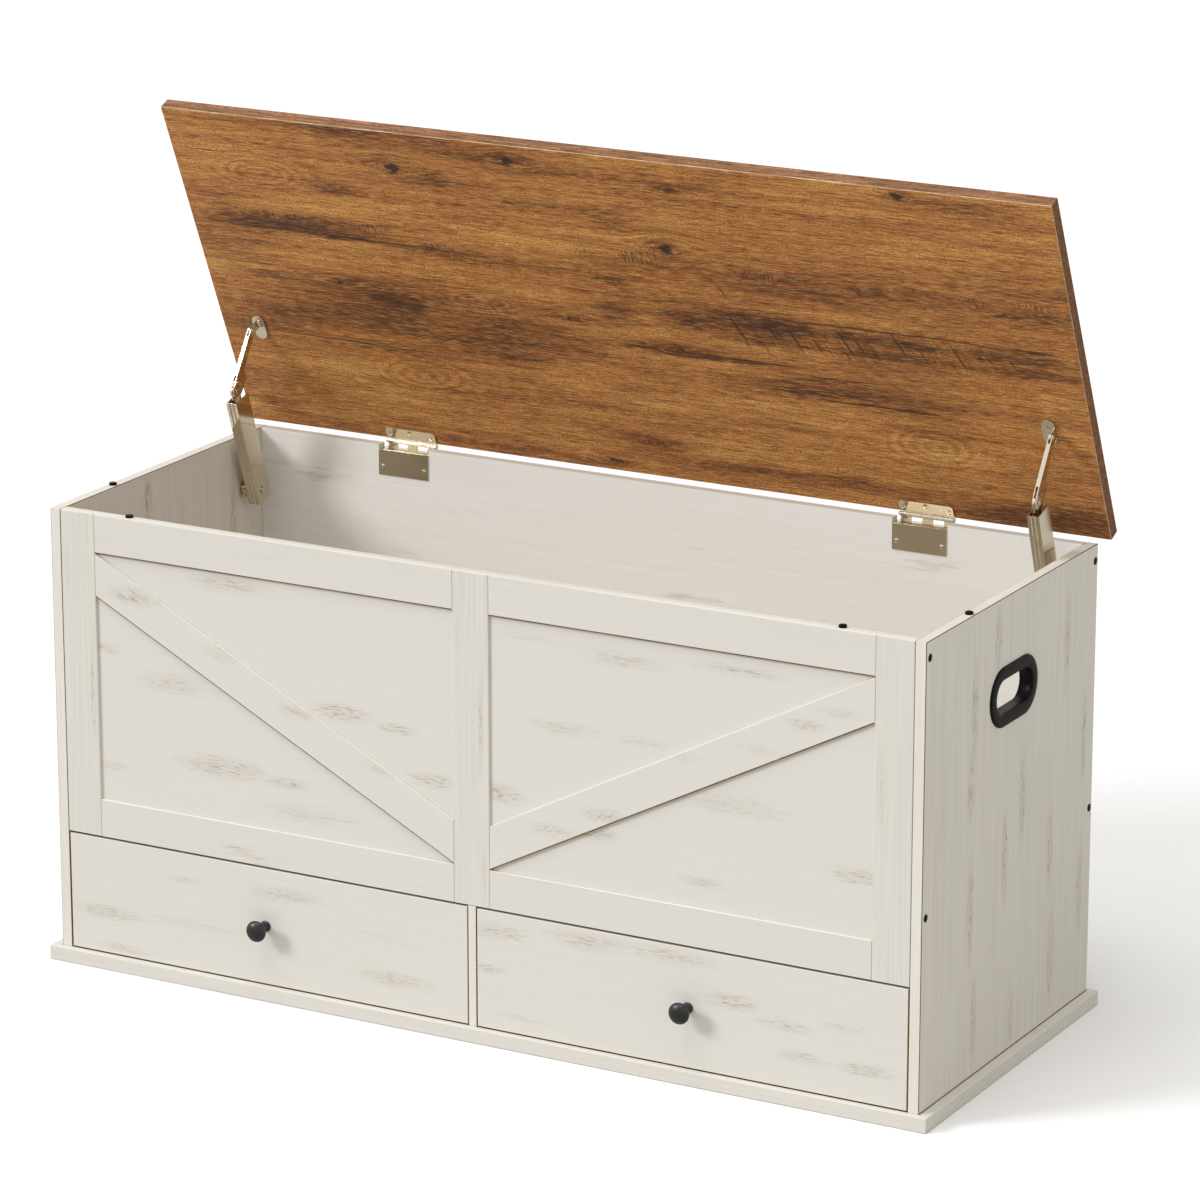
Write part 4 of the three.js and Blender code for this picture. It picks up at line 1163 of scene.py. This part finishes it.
def turned(name, outline, placing, finish, around=64):
    """Spins an outline that starts and ends on the axis. The axis is Z before the placing."""
    mesh = bmesh.new()
    loops = []
    for radius, along in outline[1:-1]:
        turns = [math.tau * step / around for step in range(around)]
        loops.append([mesh.verts.new((radius * math.cos(a), radius * math.sin(a), along)) for a in turns])
    first = mesh.verts.new((0.0, 0.0, outline[0][1]))
    last = mesh.verts.new((0.0, 0.0, outline[-1][1]))
    for step in range(around):
        following = (step + 1) % around
        mesh.faces.new((first, loops[0][following], loops[0][step]))
        mesh.faces.new((last, loops[-1][step], loops[-1][following]))
        for low, high in zip(loops, loops[1:]):
            mesh.faces.new((low[step], low[following], high[following], high[step]))
    data = bpy.data.meshes.new(name)
    mesh.to_mesh(data)
    mesh.free()
    data.transform(placing)
    data.materials.append(finish)
    smooth_faces(data)
    return new_object(name, data)


print("points on a quarter arc of 8 steps:", len(arc((0.0, 0.0), (1.0, 1.0), 0, 90, 8)))

# %% [markdown]
# A knob has a flared foot, a narrow neck and a domed head with a rounded rim. All its measures are shares
# of the head's radius and of the knob's length, which come from its box.

# %% Knobs
def knob_outline(head, length):
    foot = 0.52 * head
    neck = 0.36 * head
    rim = 0.76 * length
    outline = [(0.0, 0.0), (foot, 0.0), (foot, 0.03 * length)]
    outline += arc((foot, 0.22 * length), (foot - neck, 0.17 * length), 270, 180, 10)
    outline += [(neck, 0.5 * length)]
    outline += arc((neck + 0.30 * head, 0.52 * length), (0.30 * head, 0.08 * length), 180, 90, 8)
    outline += arc((0.72 * head, rim), (0.28 * head, 0.15 * length), 270, 360, 10)
    outline += arc((0.0, rim), (head, length - rim), 0, 90, 24)
    return outline


for side in SIDES:
    node = f"{side}_drawer_knob"
    low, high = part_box(node)
    middle = Vector(((low.x + high.x) / 2, high.y, (low.z + high.z) / 2))
    placing = Matrix.Translation(middle) @ Matrix.Rotation(math.pi / 2, 4, "X")
    outline = knob_outline((high.x - low.x) / 2, high.y - low.y)
    knob = stand_in(turned(f"turned_{node}", outline, placing, BLACK_PAINT), node)
    print(node, "turned:", len(knob.data.polygons), "faces")

# %% [markdown]
# A bumper is a low disc with a soft upper edge. Four of them keep the lid from knocking on the chest.

# %% Bumpers
BUMPER_ROUND_SHARE = 0.3
BUMPER_SIDES = 40
for node in sorted(name for name in slot_of if name.endswith("bumper")):
    low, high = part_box(node)
    radius = (high.x - low.x) / 2
    height = high.z - low.z
    edge = BUMPER_ROUND_SHARE * height
    outline = [(0.0, 0.0), (radius, 0.0)]
    outline += arc((radius - edge, height - edge), (edge, edge), 0, 90, 8)
    outline += [(0.0, height)]
    placing = Matrix.Translation(((low.x + high.x) / 2, (low.y + high.y) / 2, low.z))
    stand_in(turned(f"round_{node}", outline, placing, BLACK_PLASTIC, BUMPER_SIDES), node)
    print(node, "radius:", round(radius / MM, 2), "height:", round(height / MM, 2), "mm")

# %% [markdown]
# The handle rings, the screws and their caps are made by geometry nodes. One class serves all their
# trees. It gives a tree its named inputs, ends it with real instances and a material, and runs it on a
# starting mesh. An input is set by its identifier, before the piece is first evaluated, and the result is
# a plain mesh.

# %% A geometry tree with named inputs
class Maker(Network):
    def __init__(self, name, inputs):
        super().__init__(bpy.data.node_groups.new(name, "GeometryNodeTree"))
        interface = self.tree.interface
        interface.new_socket("Start", in_out="INPUT", socket_type="NodeSocketGeometry")
        for label, kind in inputs.items():
            interface.new_socket(label, in_out="INPUT", socket_type=f"NodeSocket{kind}")
        interface.new_socket("Piece", in_out="OUTPUT", socket_type="NodeSocketGeometry")
        self.start = self.tree.nodes.new("NodeGroupInput")
        self.end = self.tree.nodes.new("NodeGroupOutput")

    def input(self, label):
        return Value(self, self.start.outputs[label])

    def finish(self, geometry):
        """Every tree ends alike: instances made real, then the material set."""
        real = self.node("GeometryNodeRealizeInstances", None, {"Geometry": geometry})
        sockets = {"Geometry": real, "Material": self.input("Finish")}
        last = self.node("GeometryNodeSetMaterial", None, sockets)
        self.tree.links.new(last.socket, self.end.inputs["Piece"])

    def make(self, name, start, values):
        """Runs the tree on a starting mesh and gives back a plain piece."""
        piece = new_object(name, start)
        modifier = piece.modifiers.new(name, "NODES")
        modifier.node_group = self.tree
        for item in self.tree.interface.items_tree:
            if item.in_out == "INPUT" and item.name in values:
                modifier[item.identifier] = values[item.name]
        return settle(piece)


print("a tree is built on:", Maker.__base__.__name__)

# %% [markdown]
# A handle ring is one section that follows one path, a slot with round ends. The path is a rectangle with
# fully rounded corners. The section is drawn as a curve: down the tube's bore, over a soft mouth, across
# the crowned rim and back under it. The panel's outer face is at 0, and the tube goes back through the
# panel.

# %% Section of a handle ring
def ring_section(rim, thickness, wall, depth):
    mouth = 0.75 * thickness
    outline = [(0.0, -depth), (0.0, thickness - 1.3 * mouth)]
    outline += arc((mouth, thickness - 1.15 * mouth), (mouth, mouth), 180, 100, 8)
    outline += arc((0.45 * rim, 0.8 * thickness), (0.34 * rim, 0.2 * thickness), 110, 60, 6)
    outline += arc((0.84 * rim, 0.42 * thickness), (0.16 * rim, 0.50 * thickness), 75, 0, 8)
    outline += [(rim, 0.0), (wall, 0.0), (wall, -depth)]
    return outline


def section_curve(name, outline):
    """The outline as a closed curve. It runs backwards, so that the swept skin faces outwards."""
    data = bpy.data.curves.new(name, "CURVE")
    data.dimensions = "2D"
    spline = data.splines.new("POLY")
    spline.points.add(len(outline) - 1)
    for point, (across, along) in zip(spline.points, reversed(outline)):
        point.co = (across, along, 0.0, 1.0)
    spline.use_cyclic_u = True
    return new_object(name, data)


print("points in the section:", len(ring_section(1.0, 1.0, 0.1, 1.0)))

# %% [markdown]
# The tree rounds the path, sweeps the section along it and shades it smooth. Its inputs are the length
# and height of the path, the section and the finish, so that the left and the right ring share it.

# %% Tree for the handle rings
CORNER_SHARE = 0.4999
CORNER_STEPS = 24


def ring_maker():
    inputs = {"Length": "Float", "Height": "Float", "Section": "Object", "Finish": "Material"}
    maker = Maker("ring_maker", inputs)
    height = maker.input("Height")
    sockets = {"Width": maker.input("Length"), "Height": height}
    path = maker.node("GeometryNodeCurvePrimitiveQuadrilateral", {"mode": "RECTANGLE"}, sockets)
    sockets = {"Curve": path, "Count": CORNER_STEPS, "Radius": height * CORNER_SHARE}
    rounded = maker.node("GeometryNodeFilletCurve", {"mode": "POLY"}, sockets)
    section = maker.node("GeometryNodeObjectInfo", None, {"Object": maker.input("Section")}, out="Geometry")
    swept = maker.node("GeometryNodeCurveToMesh", None, {"Curve": rounded, "Profile Curve": section})
    maker.finish(maker.node("GeometryNodeSetShadeSmooth", None, {"Geometry": swept}))
    return maker


ring_tree = ring_maker()
print("nodes in the ring's tree:", len(ring_tree.tree.nodes))

# %% [markdown]
# Each ring is swept flat round the origin and then stood up on its side panel, with its length running
# from front to back. Its sizes come from the node's box and the panel's, and it keeps a hair's gap to the
# panel.

# %% Handle rings
RIM_SHARE = 13 / 60
WALL_SHARE = 2 / 13
RING_GAP = 0.05 * MM
UPRIGHT = Matrix(((0, 0, -1), (-1, 0, 0), (0, 1, 0))).to_4x4()
for side, sign in SIDES.items():
    node = f"{side}_handle_ring"
    low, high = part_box(node)
    panel_low, panel_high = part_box(f"{side}_side_panel")
    face = panel_high.x if sign > 0 else -panel_low.x
    out = high.x if sign > 0 else -low.x
    deep = low.x if sign > 0 else -high.x
    rim = RIM_SHARE * (high.z - low.z)
    outline = ring_section(rim, out - face - RING_GAP, WALL_SHARE * rim, face - deep)
    section = section_curve("ring_section", outline)
    values = {
        "Length": high.y - low.y - 2 * rim,
        "Height": high.z - low.z - 2 * rim,
        "Section": section,
        "Finish": BLACK_PLASTIC,
    }
    piece = ring_tree.make(f"swept_{node}", bpy.data.meshes.new(f"swept_{node}"), values)
    bpy.data.objects.remove(section)
    middle = Vector((sign * (face + RING_GAP), (low.y + high.y) / 2, (low.z + high.z) / 2))
    turn = Matrix.Rotation(0.0 if sign > 0 else math.pi, 4, "Z")
    piece.data.transform(Matrix.Translation(middle) @ turn @ UPRIGHT)
    stand_in(piece, node)
    print(node, "swept:", len(piece.data.vertices), "points")

# %% [markdown]
# Screws and caps repeat, so geometry nodes make them too. A head is a short cylinder whose top is raised
# into a dome by one formula, and a screw's head has a cross cut into it by two bars. The measures of the
# bars are shares of the head's radius and rise.

# %% One screw head or cap
CROSS_LENGTH_SHARE = 1.15
CROSS_WIDTH_SHARE = 0.34
CROSS_HEIGHT_SHARE = 2.0
CROSS_LIFT_SHARE = 1.35
TOP_TOLERANCE = 0.1 * MM
HEAD_SIDES = 28
HEAD_RINGS = 5


def dome(maker, radius, rise):
    sockets = {"Vertices": HEAD_SIDES, "Fill Segments": HEAD_RINGS, "Radius": radius, "Depth": rise}
    disc = maker.node("GeometryNodeMeshCylinder", {"fill_type": "NGON"}, sockets)
    place = maker.node("GeometryNodeInputPosition")
    share = maker.length(maker.vector("MULTIPLY", place, (1.0, 1.0, 0.0))) / radius
    height = (1.0 - share * share) * rise
    split = maker.node("ShaderNodeSeparateXYZ", None, {"Vector": place}, out="Z")
    lift = maker.raised(height * split.between(-TOP_TOLERANCE, TOP_TOLERANCE))
    return maker.node("GeometryNodeSetPosition", None, {"Geometry": disc, "Offset": lift})


def crossed(maker, head, radius, rise):
    bars = []
    for long_way in (0, 1):
        reach = [radius * CROSS_WIDTH_SHARE, radius * CROSS_WIDTH_SHARE, rise * CROSS_HEIGHT_SHARE]
        reach[long_way] = radius * CROSS_LENGTH_SHARE
        size = maker.node("ShaderNodeCombineXYZ", None, dict(enumerate(reach)))
        bar = maker.node("GeometryNodeMeshCube", None, {"Size": size})
        sockets = {"Geometry": bar, "Translation": maker.raised(rise * CROSS_LIFT_SHARE)}
        bars.append(maker.node("GeometryNodeTransform", None, sockets))
    settings = {"operation": "DIFFERENCE", "solver": "EXACT"}
    return maker.node("GeometryNodeMeshBoolean", settings, {"Mesh 1": head, "Mesh 2": bars})


print("a cross spans", CROSS_LENGTH_SHARE / 2, "of the head's width")

# %% [markdown]
# Copies of the head go on a cloud of points. Each is turned to face the way that its point says, which is
# stored as an attribute, and spun by a seeded random angle, because no two screws stop alike.

# %% Trees for screws and caps
FACING = "facing"


def head_maker(name, with_cross):
    inputs = {"Radius": "Float", "Rise": "Float", "Seed": "Int", "Finish": "Material"}
    maker = Maker(name, inputs)
    radius = maker.input("Radius")
    rise = maker.input("Rise")
    head = dome(maker, radius, rise)
    if with_cross:
        head = crossed(maker, head, radius, rise)
    settings = {"data_type": "FLOAT_VECTOR"}
    facing = maker.node("GeometryNodeInputNamedAttribute", settings, {"Name": FACING})
    aligned = maker.node("FunctionNodeAlignRotationToVector", {"axis": "Z"}, {"Vector": facing})
    sockets = {2: 0.0, 3: math.tau, "Seed": maker.input("Seed")}
    angle = maker.node("FunctionNodeRandomValue", {"data_type": "FLOAT"}, sockets, out=1)
    sockets = {"Axis": tuple(UPWARD), "Angle": angle}
    spin = maker.node("FunctionNodeAxisAngleToRotation", None, sockets)
    turn = maker.node("FunctionNodeRotateRotation", {"rotation_space": "LOCAL"}, {0: aligned, 1: spin})
    sockets = {"Points": maker.input("Start"), "Instance": head, "Rotation": turn}
    maker.finish(maker.node("GeometryNodeInstanceOnPoints", None, sockets))
    return maker


screw_tree = head_maker("screw_heads", True)
cap_tree = head_maker("screw_caps", False)
print("nodes in the screw's tree:", len(screw_tree.tree.nodes))

# %% [markdown]
# A list of places and directions becomes a mesh of single points, and the tree turns it into one piece
# for each body: heads on the lid move with the lid, and those on the chest stay where they are.

# %% Fastening heads to a body
def facing_points(name, places):
    data = bpy.data.meshes.new(name)
    data.from_pydata([tuple(place) for place, facing in places], [], [])
    attribute = data.attributes.new(FACING, "FLOAT_VECTOR", "POINT")
    for row, (place, facing) in zip(attribute.data, places):
        row.vector = facing
    return data


def fasten(name, tree, places, radius, rise, seed, finish, body, slot):
    values = {"Radius": radius, "Rise": rise, "Seed": seed, "Finish": finish}
    piece = tree.make(name, facing_points(name, places), values)
    smooth_faces(piece.data)
    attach(piece, body)
    print(name, len(places), "heads,", len(piece.data.polygons), "faces")


print("fastening helpers:", [helper.__name__ for helper in (facing_points, fasten)])

# %% [markdown]
# Each side panel is screwed to the boards between the sides, and a small black cap covers each screw: one
# near the top and one at half height, both along the front edge and along the back one.

# %% Black caps over the screws in the side panels
CAP_RADIUS = 4 * MM
CAP_RISE = 0.6 * MM
CAP_FROM_FRONT = 7.5 * MM
CAP_FROM_BACK = 6 * MM
CAP_FROM_TOP = 16.5 * MM
CAP_HEIGHT = 210 * MM
CAP_SEED = 1
caps = []
for side, sign in SIDES.items():
    low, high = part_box(f"{side}_side_panel")
    face = high.x if sign > 0 else low.x
    for y in (low.y + CAP_FROM_FRONT, high.y - CAP_FROM_BACK):
        for z in (high.z - CAP_FROM_TOP, CAP_HEIGHT):
            caps.append((Vector((face, y, z)), ACROSS * sign))
cap_sizes = (CAP_RADIUS, CAP_RISE, CAP_SEED)
fasten("side_screw_caps", cap_tree, caps, *cap_sizes, BLACK_PLASTIC, "cabinet", "black_plastic")

# %% [markdown]
# Three screws hold each upper hinge leaf to the lid, and two hold each lower leaf to the back panel,
# below the notch that is cut for the hinge. The lid's screws are placed on the shut lid and then turned
# open with it.

# %% Screws of the hinge leaves
HEAD_RADIUS = 2.7 * MM
HEAD_RISE = 0.55 * MM
LEAF_SCREW_SIDE = 25 * MM
LEAF_MIDDLE_UP = 11.1 * MM
LEAF_END_UP = 7.3 * MM
LEAF_LOWER_DOWN = 17 * MM
NOTCH_DEPTH = 6 * MM
SHEET = 1.2 * MM
SEAT_GAP = 0.3 * MM
LEAF_FACE = LID_UNDERSIDE - SEAT_GAP - SHEET
DOWN_FROM_LID = OPENING @ -UPWARD
back_panel_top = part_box("back_panel")[1].z
lid_screws = []
cabinet_screws = []
for side in SIDES:
    low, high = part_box(f"{side}_hinge_pin")
    middle = (low.x + high.x) / 2
    upper_holes = ((0.0, LEAF_MIDDLE_UP), (-LEAF_SCREW_SIDE, LEAF_END_UP), (LEAF_SCREW_SIDE, LEAF_END_UP))
    for across, up in upper_holes:
        place = from_closed(middle + across, LID_BACK_EDGE - up, LEAF_FACE)
        lid_screws.append((place, DOWN_FROM_LID))
    leaf_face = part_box(f"{side}_hinge_lower_leaf")[0].y
    for across in (-LEAF_SCREW_SIDE, LEAF_SCREW_SIDE):
        place = Vector((middle + across, leaf_face, back_panel_top - NOTCH_DEPTH - LEAF_LOWER_DOWN))
        cabinet_screws.append((place, -BACKWARD))
print("screws in the leaves:", len(lid_screws), "on the lid,", len(cabinet_screws), "on the back")

# %% [markdown]
# Each stay has one screw through its bracket on the lid, and two through its plate on the side panel,
# above and below the pin that the housing turns on. The record of that joint gives the pin's place.

# %% Screws of the stays
BRACKET_SCREW_X = 454.15 * MM
BRACKET_SCREW_Y = 67 * MM
BRACKET_SHEET = 1.6 * MM
BRACKET_FACE = LID_UNDERSIDE - SEAT_GAP - BRACKET_SHEET
PLATE_FACE = 2 * MM
PLATE_SCREW_RISE = 9.7 * MM
LID_SCREW_SEED = 2
CABINET_SCREW_SEED = 3
for side, sign in SIDES.items():
    place = from_closed(sign * BRACKET_SCREW_X, BRACKET_SCREW_Y, BRACKET_FACE)
    lid_screws.append((place, DOWN_FROM_LID))
    panel_low, panel_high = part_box(f"{side}_side_panel")
    inner = panel_low.x if sign > 0 else panel_high.x
    pin = Vector(JOINTS[f"{side}_stay_pivot"]["pos_m"])
    for rise in (-PLATE_SCREW_RISE, PLATE_SCREW_RISE):
        place = Vector((inner - sign * PLATE_FACE, pin.y, pin.z + rise))
        cabinet_screws.append((place, ACROSS * -sign))
lid_sizes = (HEAD_RADIUS, HEAD_RISE, LID_SCREW_SEED)
cabinet_sizes = (HEAD_RADIUS, HEAD_RISE, CABINET_SCREW_SEED)
fasten("lid_screws", screw_tree, lid_screws, *lid_sizes, NICKEL, "lid", "nickel")
fasten("cabinet_screws", screw_tree, cabinet_screws, *cabinet_sizes, NICKEL, "cabinet", "nickel")

# %% [markdown]
# The studio is a pale floor that runs on far behind the chest, under a white sky. The camera sees the
# floor a little whiter than the light does, so that less of it bounces up onto the chest, and the chest's
# shadow falls on it as on any floor.

# %% Studio floor
FLOOR_REACH = 20.0
FLOOR_LIT = tint(204, 202, 197)
FLOOR_SEEN = tint(252, 252, 252)
FLOOR_CORNERS = ((-1, -1), (1, -1), (1, 1), (-1, 1))
floor_mesh = bpy.data.meshes.new("studio_floor")
places = [(x * FLOOR_REACH, y * FLOOR_REACH, 0.0) for x, y in FLOOR_CORNERS]
floor_mesh.from_pydata(places, [], [(0, 1, 2, 3)])
floor = new_object("studio_floor", floor_mesh)
floor_finish = Finish("studio_floor")
camera_sees = floor_finish.node("ShaderNodeLightPath", out="Is Camera Ray")
floor_color = floor_finish.mix(camera_sees, FLOOR_LIT, FLOOR_SEEN)
floor_surface = floor_finish.surface(Base_Color=floor_color, Roughness=1.0, Specular_IOR_Level=0.0)
floor_mesh.materials.append(floor_surface)
print("floor:", 2 * FLOOR_REACH, "metres square")

# %% [markdown]
# Three suns light the chest, since a sun does not fade with distance: a key from the front left, which
# drops the knobs' shadows down to the right, a soft one from above, which brightens the top edges, and a
# weak warm one from the right for the side that the key leaves dark. Each row is a travel direction, a
# strength, a softness in degrees and a colour.

# %% Suns
SUNS = {
    "key_sun": ((0.625, 0.60, -0.50), 1.58, 18.0, (1.0, 1.005, 1.075)),
    "top_sun": ((0.1, 0.25, -0.96), 1.13, 40.0, (1.0, 1.0, 1.0)),
    "side_sun": ((-0.96, 0.1, -0.25), 0.45, 60.0, (1.0, 0.965, 0.92)),
}
for name, (travel, strength, softness, color) in SUNS.items():
    lamp = bpy.data.lights.new(name, "SUN")
    lamp.energy = strength
    lamp.angle = math.radians(softness)
    lamp.color = color
    holder = new_object(name, lamp)
    holder.rotation_euler = Vector(travel).to_track_quat("-Z", "Y").to_euler()
print("suns:", list(SUNS))

# %% [markdown]
# The sky fills the shadows. It is weaker and a little warmer for light that falls on the chest, and plain
# white for whatever sees it directly: the camera, and the reflections in the metal and in the glossy
# black.

# %% Sky
SKY_FILL = 0.50
SKY_WARM = (1.0, 0.975, 0.94, 1.0)
world = bpy.data.worlds.new("white_sky")
world.use_nodes = True
bpy.context.scene.world = world
sky = Network(world.node_tree)
sky.tree.nodes.clear()
seen = sky.node("ShaderNodeLightPath", out="Is Camera Ray")
for ray in ("Is Glossy Ray", "Is Transmission Ray"):
    seen = seen.larger(sky.node("ShaderNodeLightPath", out=ray))
sockets = {0: seen, 6: SKY_WARM, 7: tint(255, 255, 255)}
sky_color = sky.node("ShaderNodeMix", {"data_type": "RGBA"}, sockets, out=2)
sockets = {"Color": sky_color, "Strength": seen * (1.0 - SKY_FILL) + SKY_FILL}
white = sky.node("ShaderNodeBackground", None, sockets)
sky_output = sky.tree.nodes.new("ShaderNodeOutputWorld")
sky.tree.links.new(white.socket, sky_output.inputs["Surface"])
bpy.context.scene.view_settings.view_transform = "Standard"
print("sky fill:", SKY_FILL)

# %% [markdown]
